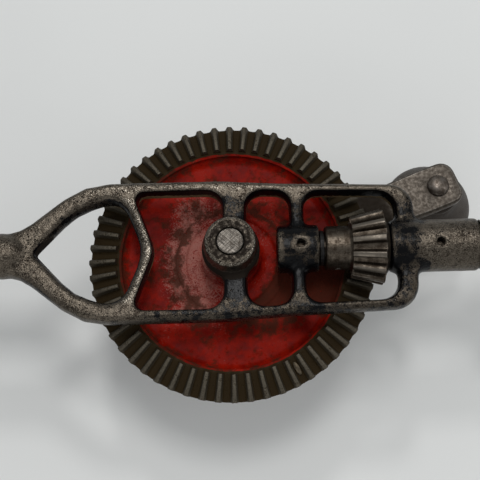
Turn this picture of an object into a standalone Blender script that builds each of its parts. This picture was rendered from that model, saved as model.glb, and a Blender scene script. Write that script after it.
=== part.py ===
"""Hand drill: a cast frame, a bevel gear turned by a crank, a pinion on the spindle and a chuck.

Sizes are in metres. Every piece is built about the crossing of the spindle's axis and the axle's
axis, and hangs on one empty there. The spindle points along +X and the axle's seen end along +Z.
The part's own origin is the middle of that end face, so the crossing lies below it.
"""
from functools import partial
from math import acos, atan2, ceil, cos, pi, radians, sin, sqrt, tan

import bmesh
import bpy
from mathutils import Matrix, Vector

# Clearance that touching pieces keep, and the running fit round every shaft
SEAT_GAP = 0.0003
BORE_GAP = 0.0003

# Round pieces
ROUND_STEPS = 28
FINE_STEPS = 16
ARC_STEP = radians(20.0)
SMOOTH_ANGLE = radians(32.0)
MERGE_DISTANCE = 0.000004

# How far a cutter runs past the face that it opens, and the small chamfers of turned pieces
CUT_OVERRUN = 0.0010
EDGE_CHAMFER = 0.0005
WASHER_CHAMFER = 0.0002

# The share of a side that the arcs at its two ends may take
SIDE_SHARE = 0.98

# Drive: two bevel gears at right angles, whose pitch cones meet at the crossing of the axes
GEAR_TEETH = 56
PINION_TEETH = 13
GEAR_TIP_DIAMETER = 0.1080
TOOTH_ADDENDUM = 0.00120
TOOTH_DEDENDUM = 0.00150
PRESSURE_ANGLE = radians(20.0)
TOOTH_BACKLASH = 0.00070
GEAR_TOOTH_SHARE = 0.46
GEAR_FACE_WIDTH = 0.0105
PINION_OVERHANG = 0.0016
PINION_FACE_WIDTH = 0.0120
PINION_BACK_LENGTH = 0.00126
PINION_HUB_LENGTH = 0.0098
PINION_PIN_SETBACK = 0.0045
PINION_FLANK_SHARE = 0.35

# Drive gear casting below its teeth
GEAR_DISC_DEPTH = 0.0152
GEAR_DISC_THICKNESS = 0.0036
GEAR_RIM_WALL = 0.0016
GEAR_RIM_CHAMFER = 0.0022
GEAR_HUB_DIAMETER = 0.0220
GEAR_HUB_TOP = 0.0079
GEAR_BACK_HUB_DIAMETER = 0.0290
GEAR_BACK_HUB_LENGTH = 0.0040
GEAR_RING_DIAMETER = 0.0385
GEAR_RING_WIDTH = 0.0034
GEAR_RING_HEIGHT = 0.0008
GEAR_FILLET = 0.0012
GEAR_TOOTH_STEP = 0.0003

# Axle of the gear, fixed in the frame's boss
AXLE_DIAMETER = 0.0095
AXLE_FACE_RISE = 0.0131
AXLE_CHAMFER = 0.0003
AXLE_SCREW_DIAMETER = 0.0050
AXLE_SCREW_DEPTH = 0.0120
AXLE_SCREW_END_ROOM = 0.0010
AXLE_SCREW_RIM = 0.0008
AXLE_SCREW_HEAD_DIAMETER = 0.0120
AXLE_SCREW_HEAD_HEIGHT = 0.0030
AXLE_SCREW_SLOT_WIDTH = 0.0014
AXLE_SCREW_SLOT_DEPTH = 0.0013
AXLE_WASHER_DIAMETER = 0.0124
AXLE_WASHER_THICKNESS = 0.0012

# Frame casting: an open loop of bar, seen as an outline in the plane of the spindle
FRAME_DEPTH = 0.0090
FRAME_FLAT_DEPTH = 0.0024
FRAME_OUTER_ROUNDING = 0.0018
FRAME_EYE_ROUNDING = 0.0023
FRAME_WINDOW_ROUNDING = 0.0004
REAR_WINDOW_DRAFT = 0.0005
WINDOW_DRAFT = 0.0009
RAIL_THICKNESS_FRONT = 0.0039
RAIL_THICKNESS_REAR = 0.0049
SHOULDER_HALF_HEIGHT = 0.0231
SHOULDER_RADIUS = 0.0090
WAIST_X = 0.0200
WAIST_HALF_HEIGHT = 0.0248
HIP_X = -0.0040
HIP_HALF_HEIGHT = 0.0264
FORK_X = -0.0540
FORK_HALF_HEIGHT = 0.0264
FORK_RADIUS = 0.0280
NECK_CORNER_X = -0.0768
NECK_CORNER_RADIUS = 0.0180
END_WALL_THICKNESS = 0.0074
END_WALL_FILLET = 0.0062
NOSE_ROOT_RADIUS = 0.0040
NOSE_ROOT_OVERLAP = 0.0110
RAIL_BEND_RADIUS = 0.0800
NECK_OVERLAP = 0.0100
BOSS_WEB_WIDTH = 0.0090
BOSS_WEB_SHIFT = 0.0015
BOSS_WEB_FILLET = 0.0060
BARREL_WEB_WIDTH = 0.0056
BARREL_WEB_FILLET = 0.0050
CROTCH_X = -0.0715
CROTCH_RADIUS = 0.0012
EYE_BEND_X = -0.0570
EYE_BEND_HALF_HEIGHT = 0.0154
EYE_BEND_RADIUS = 0.0240
EYE_CORNER_X = -0.0403
EYE_CORNER_HALF_HEIGHT = 0.0208
EYE_CORNER_RADIUS = 0.0080
WISHBONE_TIP_X = -0.0318
WISHBONE_WIDTH = 0.0046
WISHBONE_REAR_SWEEP = 0.0080
WISHBONE_TIP_RADIUS = 0.0160
WISHBONE_REAR_RADIUS = 0.0100
WISHBONE_CORNER_RADIUS = 0.0025

# Bosses and bearings of the frame
AXLE_BOSS_DIAMETER = 0.0186
AXLE_BOSS_FOOT_DIAMETER = 0.0212
AXLE_BOSS_BACK = 0.0060
AXLE_BOSS_CHAMFER = 0.0009
AXLE_BOSS_FLARE = 0.0030
BARREL_DIAMETER = 0.0175
BARREL_SHARE = 0.7145
NOSE_DIAMETER = 0.0192
NOSE_LENGTH = 0.0327
NOSE_WALL_OVERLAP = 0.0027
NOSE_CHAMFER = 0.0010
OIL_HOLE_DIAMETER = 0.0029
BARREL_OIL_HOLE_SHIFT = 0.0010
NOSE_OIL_HOLE_SETBACK = 0.0076
NOSE_OIL_HOLE_Y = -0.0009

# Neck, collar and tang that carry the handle
NECK_DIAMETER = 0.0170
COLLAR_DIAMETER = 0.0196
COLLAR_START_X = -0.0970
COLLAR_LENGTH = 0.0040
COLLAR_CHAMFER = 0.0008
NECK_HOLLOW = 0.0003
NECK_SWELL_LENGTH = 0.0060
NECK_NOSE_START = 0.0050
NECK_NOSE_LENGTH = 0.0088
TANG_DIAMETER = 0.0080
TANG_LENGTH = 0.0520
TANG_CHAMFER = 0.0010

# Handle
HANDLE_LENGTH = 0.1060
HANDLE_BELLY_DIAMETER = 0.0320
HANDLE_WAIST_DIAMETER = 0.0236
HANDLE_BUTT_DIAMETER = 0.0270
HANDLE_BUTT_FLAT = 0.0160
HANDLE_LIP = 0.0012
HANDLE_WAIST_LENGTH = 0.0050
HANDLE_BELLY_SHARE = 0.50
HANDLE_REAR_SHARE = 0.86
FERRULE_DIAMETER = 0.0220
FERRULE_LENGTH = 0.0160
FERRULE_WALL = 0.0010
HANDLE_PIN_DIAMETER = 0.0024
HANDLE_PIN_INSET = 0.0090

# Crank
CRANK_RADIUS = 0.0880
CRANK_ANGLE = radians(20.7)
CRANK_THICKNESS = 0.0045
CRANK_END_WIDTH = 0.0184
CRANK_WAIST_WIDTH = 0.0150
CRANK_HUB_DIAMETER = 0.0290
CRANK_END_REACH = 0.0087
CRANK_CORNER_RADIUS = 0.0052
CRANK_END_TAPER = 0.0004
CRANK_END_TAPER_LENGTH = 0.0060
CRANK_END_BEND_RADIUS = 0.0300
CRANK_WAIST_SHARE = 0.45
CRANK_WAIST_BEND_RADIUS = 0.0400
CRANK_HUB_BEND_RADIUS = 0.0090
CRANK_EDGE_CHAMFER = 0.0009
CRANK_SCREW_COUNT = 3
CRANK_SCREW_CIRCLE = 0.0206
CRANK_SCREW_DIAMETER = 0.0036
CRANK_SCREW_HEAD_DIAMETER = 0.0058
CRANK_SCREW_HEAD_HEIGHT = 0.0014
CRANK_SCREW_DEPTH = 0.0040
CRANK_SCREW_RIM = 0.0006
CRANK_SCREW_CROWN_SHARE = 0.6
SCREW_STEPS = 12

# Knob on the crank
KNOB_DIAMETER = 0.0366
KNOB_LENGTH = 0.0380
KNOB_NECK_DIAMETER = 0.0190
KNOB_END_DIAMETER = 0.0200
KNOB_BELLY_SHARE = 0.56
KNOB_EDGE_CHAMFER = 0.0008
KNOB_WASHER_DIAMETER = 0.0130
KNOB_WASHER_THICKNESS = 0.0010
RIVET_DIAMETER = 0.0050
RIVET_HEAD_DIAMETER = 0.0087
RIVET_HEAD_HEIGHT = 0.0024
RIVET_TAIL_DIAMETER = 0.0090
RIVET_TAIL_HEIGHT = 0.0014
RIVET_TAIL_RIM = 0.0004

# Spindle and pinion hub
SPINDLE_DIAMETER = 0.0095
SPINDLE_INSET = 0.0004
PINION_HUB_DIAMETER = 0.0160
PINION_CHAMFER = 0.0004
PINION_BACK_DROP = 0.0012
PINION_HUB_FLARE = 0.0006
PINION_TOOTH_STEP = 0.0001
THRUST_WASHER_DIAMETER = 0.0130
THRUST_WASHER_THICKNESS = 0.0016
PINION_PIN_DIAMETER = 0.0024
NOSE_WASHER_DIAMETER = 0.0180
NOSE_WASHER_THICKNESS = 0.0012

# Chuck
CHUCK_BODY_DIAMETER = 0.0264
CHUCK_BODY_LENGTH = 0.0420
CHUCK_REAR_COLLAR_DIAMETER = 0.0300
CHUCK_REAR_COLLAR_LENGTH = 0.0070
CHUCK_HUB_DIAMETER = 0.0176
CHUCK_HUB_LENGTH = 0.0026
CHUCK_NOSE_DIAMETER = 0.0200
CHUCK_NOSE_LENGTH = 0.0060
CHUCK_SOCKET_DEPTH = 0.0130
CHUCK_MOUTH_DIAMETER = 0.0070
CHUCK_MOUTH_DEPTH = 0.0120
CHUCK_EDGE_CHAMFER = 0.0015
SLEEVE_DIAMETER = 0.0316
SLEEVE_LENGTH = 0.0280
SLEEVE_REAR_CHAMFER = 0.0012
SLEEVE_FRONT_CHAMFER = 0.0016
NUT_LENGTH = 0.0054
NUT_SETBACK = 0.0180
JAW_ANGLE = radians(15.0)
JAW_COUNT = 3
JAW_DIAMETER = 0.0050
JAW_LENGTH = 0.0200
JAW_REACH = 0.0040
JAW_TIP_RADIUS = 0.0014
JAW_TRAVEL = 0.0123
JAW_END_ROOM = 0.0008
JAW_STEPS = 20

# Places along the axle, measured down from the crossing of the axes
GEAR_CONE = atan2(GEAR_TEETH, PINION_TEETH)
PINION_CONE = pi / 2.0 - GEAR_CONE
GEAR_PITCH_RADIUS = GEAR_TIP_DIAMETER / 2.0 - TOOTH_ADDENDUM * cos(GEAR_CONE)
CONE_LENGTH = GEAR_PITCH_RADIUS / sin(GEAR_CONE)
CIRCULAR_PITCH = 2.0 * pi * GEAR_PITCH_RADIUS / GEAR_TEETH
GEAR_TOOTH_THICKNESS = (CIRCULAR_PITCH - TOOTH_BACKLASH) * GEAR_TOOTH_SHARE
PINION_TOOTH_THICKNESS = CIRCULAR_PITCH - TOOTH_BACKLASH - GEAR_TOOTH_THICKNESS
DISC_BACK = GEAR_DISC_DEPTH + GEAR_DISC_THICKNESS
GEAR_BACK = DISC_BACK + GEAR_BACK_HUB_LENGTH
CRANK_FRONT = GEAR_BACK + SEAT_GAP
CRANK_BACK = CRANK_FRONT + CRANK_THICKNESS
AXLE_BORE_RADIUS = AXLE_DIAMETER / 2.0 + BORE_GAP
RIVET_BORE_RADIUS = RIVET_DIAMETER / 2.0 + BORE_GAP

# Places along the spindle
SPINDLE_BORE_RADIUS = SPINDLE_DIAMETER / 2.0 + BORE_GAP
PINION_PITCH_RADIUS = GEAR_PITCH_RADIUS * tan(PINION_CONE)
PINION_OUTER_SCALE = (CONE_LENGTH + PINION_OVERHANG) / CONE_LENGTH
PINION_INNER_SCALE = PINION_OUTER_SCALE - PINION_FACE_WIDTH / CONE_LENGTH
PINION_ROOT_X = CONE_LENGTH * cos(PINION_CONE) + TOOTH_DEDENDUM * sin(PINION_CONE)
PINION_START_X = PINION_ROOT_X * PINION_INNER_SCALE - PINION_HUB_LENGTH
PINION_BACK_X = PINION_ROOT_X * PINION_OUTER_SCALE + PINION_BACK_LENGTH
BARREL_END_X = PINION_START_X - THRUST_WASHER_THICKNESS - 2.0 * SEAT_GAP
BARREL_LENGTH = BARREL_SHARE * (BARREL_END_X - AXLE_BOSS_FOOT_DIAMETER / 2.0)
BARREL_START_X = BARREL_END_X - BARREL_LENGTH
BARREL_CENTRE_X = (BARREL_START_X + BARREL_END_X) / 2.0
SPINDLE_START_X = BARREL_START_X + SPINDLE_INSET
NOSE_START_X = PINION_BACK_X + SEAT_GAP
NOSE_END_X = NOSE_START_X + NOSE_LENGTH
END_WALL_X = NOSE_START_X + NOSE_WALL_OVERLAP
SHOULDER_X = END_WALL_X + END_WALL_THICKNESS
NOSE_OIL_HOLE_X = SHOULDER_X + NOSE_OIL_HOLE_SETBACK
CHUCK_START_X = NOSE_END_X + NOSE_WASHER_THICKNESS + 2.0 * SEAT_GAP
CHUCK_END_X = CHUCK_START_X + CHUCK_BODY_LENGTH
SLEEVE_START_X = CHUCK_START_X + CHUCK_REAR_COLLAR_LENGTH + SEAT_GAP
NUT_END_X = CHUCK_END_X - NUT_SETBACK
JAW_TIP_X = CHUCK_END_X + JAW_REACH
JAW_BORE_RADIUS = JAW_DIAMETER / 2.0 + BORE_GAP
SLEEVE_BORE_RADIUS = CHUCK_BODY_DIAMETER / 2.0 + BORE_GAP
FERRULE_START_X = COLLAR_START_X - COLLAR_LENGTH - SEAT_GAP
FERRULE_END_X = FERRULE_START_X - FERRULE_LENGTH
HANDLE_PIN_X = FERRULE_START_X - HANDLE_PIN_INSET
TANG_BORE_RADIUS = TANG_DIAMETER / 2.0 + BORE_GAP
TANG_END_X = COLLAR_START_X - COLLAR_LENGTH - TANG_LENGTH


# Scene and finishes

def clear_scene():
    """Take every object out of the open file."""
    for item in list(bpy.data.objects):
        bpy.data.objects.remove(item, do_unlink=True)


def finish(name, colour, roughness, metallic):
    """Make a plain material from a base colour, a roughness and a metallic value."""
    made = bpy.data.materials.new(name)
    made.use_nodes = True
    shader = made.node_tree.nodes["Principled BSDF"]
    shader.inputs["Base Color"].default_value = (*colour, 1.0)
    shader.inputs["Roughness"].default_value = roughness
    shader.inputs["Metallic"].default_value = metallic
    return made


def empty(name, parent=None, location=(0.0, 0.0, 0.0), turn=0.0):
    """Add an empty, turned about the vertical, that pieces hang on."""
    holder = bpy.data.objects.new(name, None)
    bpy.context.scene.collection.objects.link(holder)
    holder.parent = parent
    holder.location = location
    holder.rotation_euler = (0.0, 0.0, turn)
    return holder


def dress(piece, look):
    """Give a piece its one material and smooth shading with sharp edges kept."""
    mesh = piece.data
    mesh.materials.clear()
    mesh.materials.append(look)
    for face in mesh.polygons:
        face.material_index = 0
    mesh.shade_smooth()
    mesh.set_sharp_from_angle(angle=SMOOTH_ANGLE)


def add_piece(name, shape, look, parent, location=(0.0, 0.0, 0.0)):
    """Turn a closed bmesh into a named object under its parent."""
    bmesh.ops.recalc_face_normals(shape, faces=shape.faces)
    mesh = bpy.data.meshes.new(name)
    shape.to_mesh(mesh)
    shape.free()
    piece = bpy.data.objects.new(name, mesh)
    bpy.context.scene.collection.objects.link(piece)
    piece.parent = parent
    piece.location = location
    dress(piece, look)
    return piece


def combine(piece, shape, operation):
    """Join a closed bmesh to a piece, or cut it away, in the piece's own coordinates."""
    look = piece.data.materials[0]
    tool = add_piece(piece.name + "_tool", shape, look, piece.parent, piece.location)
    change = piece.modifiers.new(operation.lower(), "BOOLEAN")
    change.operation = operation
    change.solver = "EXACT"
    change.object = tool
    bpy.context.view_layer.update()
    graph = bpy.context.evaluated_depsgraph_get()
    result = bpy.data.meshes.new_from_object(piece.evaluated_get(graph))
    piece.modifiers.clear()
    tidy = bmesh.new()
    tidy.from_mesh(result)
    bmesh.ops.remove_doubles(tidy, verts=tidy.verts, dist=MERGE_DISTANCE)
    bmesh.ops.dissolve_degenerate(tidy, edges=tidy.edges, dist=MERGE_DISTANCE)
    tidy.to_mesh(result)
    tidy.free()
    piece.data = result
    bpy.data.objects.remove(tool, do_unlink=True)
    dress(piece, look)


# Basic shapes

def turned(profile, steps=ROUND_STEPS, ring=False):
    """Spin a profile of (distance along +X, radius) about the X axis."""
    shape = bmesh.new()
    points = [shape.verts.new((along, 0.0, radius)) for along, radius in profile]
    ends = points[1:] + points[:1] if ring else points[1:]
    edges = [shape.edges.new(pair) for pair in zip(points, ends)]
    bmesh.ops.spin(shape, geom=points + edges, cent=(0.0, 0.0, 0.0), axis=(1.0, 0.0, 0.0),
                   dvec=(0.0, 0.0, 0.0), angle=2.0 * pi, steps=steps, use_merge=True)
    bmesh.ops.remove_doubles(shape, verts=shape.verts, dist=1e-6)
    bmesh.ops.recalc_face_normals(shape, faces=shape.faces)
    return shape


def rod(start, end, radius, chamfer=0.0, steps=ROUND_STEPS):
    """A round bar along X with both end edges chamfered."""
    profile = [(start, 0.0), (start, radius - chamfer)]
    if chamfer:
        profile += [(start + chamfer, radius), (end - chamfer, radius)]
    profile += [(end, radius - chamfer), (end, 0.0)]
    return turned(profile, steps)


def tube(start, end, bore, radius, chamfer=0.0, steps=ROUND_STEPS):
    """A round bush or washer along X, with its outer edges chamfered."""
    profile = [(start, bore), (start, radius - chamfer)]
    if chamfer:
        profile += [(start + chamfer, radius), (end - chamfer, radius)]
    profile += [(end, radius - chamfer), (end, bore)]
    return turned(profile, steps, ring=True)


def upright(shape):
    """Stand a shape made along +X up along +Z."""
    bmesh.ops.rotate(shape, verts=shape.verts, cent=(0.0, 0.0, 0.0),
                     matrix=Matrix.Rotation(-pi / 2.0, 3, "Y"))
    return shape


def hanging(shape):
    """Turn a shape made along +X down along -Z, keeping +Y."""
    bmesh.ops.rotate(shape, verts=shape.verts, cent=(0.0, 0.0, 0.0),
                     matrix=Matrix.Rotation(pi / 2.0, 3, "Y"))
    return shape


def moved(shape, offset):
    """Shift a shape."""
    bmesh.ops.translate(shape, verts=shape.verts, vec=offset)
    return shape


def joined(first, second):
    """Put two bmeshes that don't touch into one."""
    mesh = bpy.data.meshes.new("joined")
    second.to_mesh(mesh)
    second.free()
    first.from_mesh(mesh)
    bpy.data.meshes.remove(mesh)
    return first


def smooth_step(share):
    """Ease from 0 to 1 with level ends."""
    return share * share * (3.0 - 2.0 * share)


def eased(start, end, start_radius, end_radius, steps):
    """Points of a profile that eases from one radius to another, without its last point."""
    shares = [step / steps for step in range(steps)]
    return [(start + (end - start) * share,
             start_radius + (end_radius - start_radius) * smooth_step(share)) for share in shares]


def quarter(start, radius, length, drop, steps, rising):
    """Points of a quarter oval on a profile, which rises to a radius or falls from it."""
    points = []
    for step in range(steps + 1):
        turn = pi / 2.0 * step / steps
        if rising:
            points.append((start + length * (1.0 - cos(turn)), radius - drop * (1.0 - sin(turn))))
        else:
            points.append((start + length * sin(turn), radius - drop * (1.0 - cos(turn))))
    return points


# Flat outlines with rounded corners

def outline_points(corners, inset):
    """Round each corner (x, y, radius) of an anticlockwise outline that is moved inwards."""
    points = []
    for index, (x, y, radius) in enumerate(corners):
        before = Vector(corners[index - 1][:2])
        here = Vector((x, y))
        after = Vector(corners[(index + 1) % len(corners)][:2])
        arriving = (here - before).normalized()
        leaving = (after - here).normalized()
        turn = atan2(arriving.cross(leaving), arriving.dot(leaving))
        inward = Vector((-arriving.y, arriving.x)) + Vector((-leaving.y, leaving.x))
        inward.normalize()
        corner = here + inward * (inset / cos(turn / 2.0))
        rounding = radius - inset if turn > 0.0 else radius + inset
        rounding = max(rounding, 0.0)
        steps = max(2, ceil(abs(turn) / ARC_STEP)) if radius else 0
        if not steps:
            points.append(corner)
            continue
        reach = rounding * tan(abs(turn) / 2.0)
        start = corner - arriving * reach
        side = Vector((-arriving.y, arriving.x)) * (1.0 if turn > 0.0 else -1.0)
        centre = start + side * rounding
        for step in range(steps + 1):
            angle = turn * step / steps
            points.append(centre + Matrix.Rotation(angle, 2) @ (start - centre))
    return points


def mirrored(upper):
    """Close a list of upper corners, given from right to left, with its image below the X axis."""
    lower = [(x, -y, radius) for x, y, radius in reversed(upper) if y > 0.0]
    return upper + lower


def circle_points(x, y, radius, steps, inset):
    """Points of a circle that is drawn in by an inset."""
    turns = [2.0 * pi * step / steps for step in range(steps)]
    return [Vector((x + (radius - inset) * cos(turn), y + (radius - inset) * sin(turn))) for turn in turns]


def corner_turn(corners, index):
    """How far an outline turns at one of its corners."""
    before = Vector(corners[index - 1][:2])
    here = Vector(corners[index][:2])
    after = Vector(corners[(index + 1) % len(corners)][:2])
    return abs((here - before).angle_signed(after - here))


def fitting_radii(corners):
    """Shorten the radii of two neighbouring corners whose arcs would meet on the side between them."""
    reaches = [radius * tan(corner_turn(corners, index) / 2.0)
               for index, (x, y, radius) in enumerate(corners)]
    shares = [1.0] * len(corners)
    for index in range(len(corners)):
        side = (Vector(corners[index][:2]) - Vector(corners[index - 1][:2])).length
        both = reaches[index - 1] + reaches[index]
        if both > SIDE_SHARE * side:
            for place in (index - 1, index):
                shares[place] = min(shares[place], SIDE_SHARE * side / both)
    return [(x, y, radius * share) for (x, y, radius), share in zip(corners, shares)]


def outline(corners):
    """A loop that gives the points of a rounded outline for any inset."""
    return partial(outline_points, fitting_radii(corners))


def circle(x, y, radius, steps=FINE_STEPS):
    """A loop that gives the points of a circle for any inset."""
    return partial(circle_points, x, y, radius, steps)


def rounded_edge(half_depth, flat_depth, rounding, steps):
    """Levels (height, inset) of a plate's edge: straight in the middle, oval to each face."""
    half_flat = flat_depth / 2.0
    drop = half_depth - half_flat
    upper = []
    for step in range(steps + 1):
        turn = pi / 2.0 * step / steps
        upper.append((half_flat + drop * sin(turn), rounding * (1.0 - cos(turn))))
    return [(-height, inset) for height, inset in reversed(upper)] + upper


def drafted_edge(half_depth, draft, rounding):
    """Levels (height, inset) of a hole's edge: narrowest half way, sloping and then rounded to each face."""
    upper = [(half_depth - rounding, -draft), (half_depth, -draft - rounding)]
    return [(-height, inset) for height, inset in reversed(upper)] + [(0.0, 0.0)] + upper


def plate(outer, outer_edge, holes):
    """A plate built from the stacked levels of its outline and of each hole through it.

    A loop gives its points for an inset. A hole is a pair of its loop and its levels, whose insets
    are negative where it widens.
    """
    shape = bmesh.new()
    faces = ([], [])
    for loop, levels in [(outer, outer_edge)] + holes:
        rows = []
        for height, inset in levels:
            rows.append([shape.verts.new((point.x, point.y, height))
                         for point in loop(inset)])
        for low, high in zip(rows, rows[1:]):
            for index in range(len(low)):
                follow = (index + 1) % len(low)
                shape.faces.new((low[index], low[follow], high[follow], high[index]))
        for side, row in ((0, rows[0]), (1, rows[-1])):
            faces[side].extend(shape.edges.get((row[index - 1], row[index])) for index in range(len(row)))
    for side in faces:
        bmesh.ops.triangle_fill(shape, edges=side, use_beauty=True, use_dissolve=False)
    bmesh.ops.recalc_face_normals(shape, faces=shape.faces)
    return shape


# Bevel gears

def involute(angle):
    """The involute function of a pressure angle."""
    return tan(angle) - angle


def tooth_half_angle(height, pitch_radius, cone, thickness):
    """Half the angle that a tooth takes about its gear's axis, at a height over the pitch cone."""
    virtual = pitch_radius / cos(cone)
    base = virtual * cos(PRESSURE_ANGLE)
    here = max(virtual + height, base)
    slope = involute(acos(base / here))
    half = thickness / (2.0 * virtual) + involute(PRESSURE_ANGLE) - slope
    return half / cos(cone)


def tooth_rows(count, pitch_radius, cone, thickness, heights, scale):
    """For each tooth, its points (along, radius, angle) from one root over the tip to the other."""
    rows = []
    for tooth in range(count):
        middle = 2.0 * pi * tooth / count
        rising = []
        falling = []
        for height in heights:
            half = tooth_half_angle(height, pitch_radius, cone, thickness)
            along = (CONE_LENGTH * cos(cone) - height * sin(cone)) * scale
            radius = (pitch_radius + height * cos(cone)) * scale
            rising.append((along, radius, middle - half))
            falling.insert(0, (along, radius, middle + half))
        rows.append(rising + falling)
    return rows


def stitch(shape, first, second):
    """Join two closed rows of points by faces, where one may have half the points of the other."""
    if len(first) < len(second):
        first, second = second, first
    if len(first) == len(second):
        for index in range(len(first)):
            follow = (index + 1) % len(first)
            shape.faces.new((first[index], first[follow], second[follow], second[index]))
        return
    for index in range(len(second)):
        follow = (index + 1) % len(second)
        shape.faces.new((first[2 * index], first[2 * index + 1], second[index]))
        shape.faces.new((first[2 * index + 1], first[2 * follow], second[follow], second[index]))


def gear_shape(count, pitch_radius, cone, thickness, heights, outer_scale, inner_scale, body, coarse):
    """A bevel gear along +X: its teeth, and a turned body from the outer end round to the inner.

    The body is a list of (along, radius) from behind the outer end to the foot of the inner end.
    Where it is coarse, only its first and last ring have two points for each tooth.
    """
    shape = bmesh.new()

    def corner(point):
        along, radius, angle = point
        return shape.verts.new((along, radius * sin(angle), radius * cos(angle)))

    outer = [[corner(point) for point in tooth]
             for tooth in tooth_rows(count, pitch_radius, cone, thickness, heights, outer_scale)]
    inner = [[corner(point) for point in tooth]
             for tooth in tooth_rows(count, pitch_radius, cone, thickness, heights, inner_scale)]
    half = tooth_half_angle(heights[0], pitch_radius, cone, thickness)
    rings = []
    for place, (along, radius) in enumerate(body):
        single = coarse and 0 < place < len(body) - 1
        turns = (0.0,) if single else (-half, half)
        rings.append([corner((along, radius, 2.0 * pi * tooth / count + turn))
                      for tooth in range(count) for turn in turns])
    for tooth in range(count):
        following = (tooth + 1) % count
        for index in range(len(outer[tooth]) - 1):
            shape.faces.new((outer[tooth][index], outer[tooth][index + 1],
                             inner[tooth][index + 1], inner[tooth][index]))
        shape.faces.new((outer[tooth][-1], outer[following][0], inner[following][0], inner[tooth][-1]))
        for loop, ring in ((outer, rings[0]), (inner, rings[-1])):
            shape.faces.new([ring[2 * tooth]] + loop[tooth] + [ring[2 * tooth + 1]])
            shape.faces.new((loop[tooth][-1], loop[following][0], ring[2 * following], ring[2 * tooth + 1]))
    for first, second in zip(rings, rings[1:]):
        stitch(shape, first, second)
    bmesh.ops.triangulate(shape, faces=[face for face in shape.faces if len(face.verts) > 4])
    bmesh.ops.recalc_face_normals(shape, faces=shape.faces)
    return shape


# Frame

def rail_half_height(x):
    """Half the height of the frame's outline over the spindle's axis, along its rails."""
    bends = [(FORK_X, FORK_HALF_HEIGHT), (HIP_X, HIP_HALF_HEIGHT),
             (WAIST_X, WAIST_HALF_HEIGHT), (SHOULDER_X, SHOULDER_HALF_HEIGHT)]
    for (left, low), (right, high) in zip(bends, bends[1:]):
        if x <= right:
            return low + (high - low) * (x - left) / (right - left)
    return SHOULDER_HALF_HEIGHT


def window_half_height(x):
    """Half the height of a window at x, inside the rail."""
    share = (x - FORK_X) / (SHOULDER_X - FORK_X)
    return rail_half_height(x) - RAIL_THICKNESS_REAR - (RAIL_THICKNESS_FRONT - RAIL_THICKNESS_REAR) * share


def frame_outline():
    """The frame's outer outline, whose ends run inside the neck and the nose."""
    nose_inside = sqrt((NOSE_DIAMETER / 2.0) ** 2 - (FRAME_DEPTH / 2.0) ** 2) - SEAT_GAP
    neck_half = NECK_DIAMETER / 2.0
    neck_inside = sqrt(neck_half ** 2 - (FRAME_DEPTH / 2.0) ** 2)
    return mirrored([
        (SHOULDER_X + NOSE_ROOT_OVERLAP, nose_inside, 0.0),
        (SHOULDER_X, nose_inside, NOSE_ROOT_RADIUS),
        (SHOULDER_X, SHOULDER_HALF_HEIGHT, SHOULDER_RADIUS),
        (WAIST_X, WAIST_HALF_HEIGHT, RAIL_BEND_RADIUS),
        (HIP_X, HIP_HALF_HEIGHT, RAIL_BEND_RADIUS),
        (FORK_X, FORK_HALF_HEIGHT, FORK_RADIUS),
        (NECK_CORNER_X, neck_half, NECK_CORNER_RADIUS),
        (NECK_CORNER_X - NECK_OVERLAP, neck_inside, 0.0),
    ])


def frame_windows():
    """The eye of the fork and the three windows between the rails."""
    web_left = BOSS_WEB_SHIFT - BOSS_WEB_WIDTH / 2.0
    web_right = BOSS_WEB_SHIFT + BOSS_WEB_WIDTH / 2.0
    strut_left = BARREL_CENTRE_X - BARREL_WEB_WIDTH / 2.0
    strut_right = BARREL_CENTRE_X + BARREL_WEB_WIDTH / 2.0
    wishbone_right = WISHBONE_TIP_X + WISHBONE_WIDTH
    wishbone_corner = wishbone_right - WISHBONE_REAR_SWEEP
    eye = mirrored([
        (WISHBONE_TIP_X, 0.0, WISHBONE_TIP_RADIUS),
        (EYE_CORNER_X, EYE_CORNER_HALF_HEIGHT, EYE_CORNER_RADIUS),
        (EYE_BEND_X, EYE_BEND_HALF_HEIGHT, EYE_BEND_RADIUS),
        (CROTCH_X, 0.0, CROTCH_RADIUS),
    ])
    rear = mirrored([
        (web_left, window_half_height(web_left), BOSS_WEB_FILLET),
        (wishbone_corner, window_half_height(wishbone_corner), WISHBONE_CORNER_RADIUS),
        (wishbone_right, 0.0, WISHBONE_REAR_RADIUS),
    ])
    middle = mirrored([
        (strut_left, window_half_height(strut_left), BARREL_WEB_FILLET),
        (web_right, window_half_height(web_right), BOSS_WEB_FILLET),
    ])
    front = mirrored([
        (END_WALL_X, window_half_height(END_WALL_X), END_WALL_FILLET),
        (strut_right, window_half_height(strut_right), BARREL_WEB_FILLET),
    ])
    half_depth = FRAME_DEPTH / 2.0
    eye_edge = rounded_edge(half_depth, FRAME_FLAT_DEPTH, -FRAME_EYE_ROUNDING, 2)
    rear_edge = drafted_edge(half_depth, REAR_WINDOW_DRAFT, FRAME_WINDOW_ROUNDING)
    edge = drafted_edge(half_depth, WINDOW_DRAFT, FRAME_WINDOW_ROUNDING)
    return [(outline(eye), eye_edge), (outline(rear), rear_edge), (outline(middle), edge),
            (outline(front), edge)]


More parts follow.
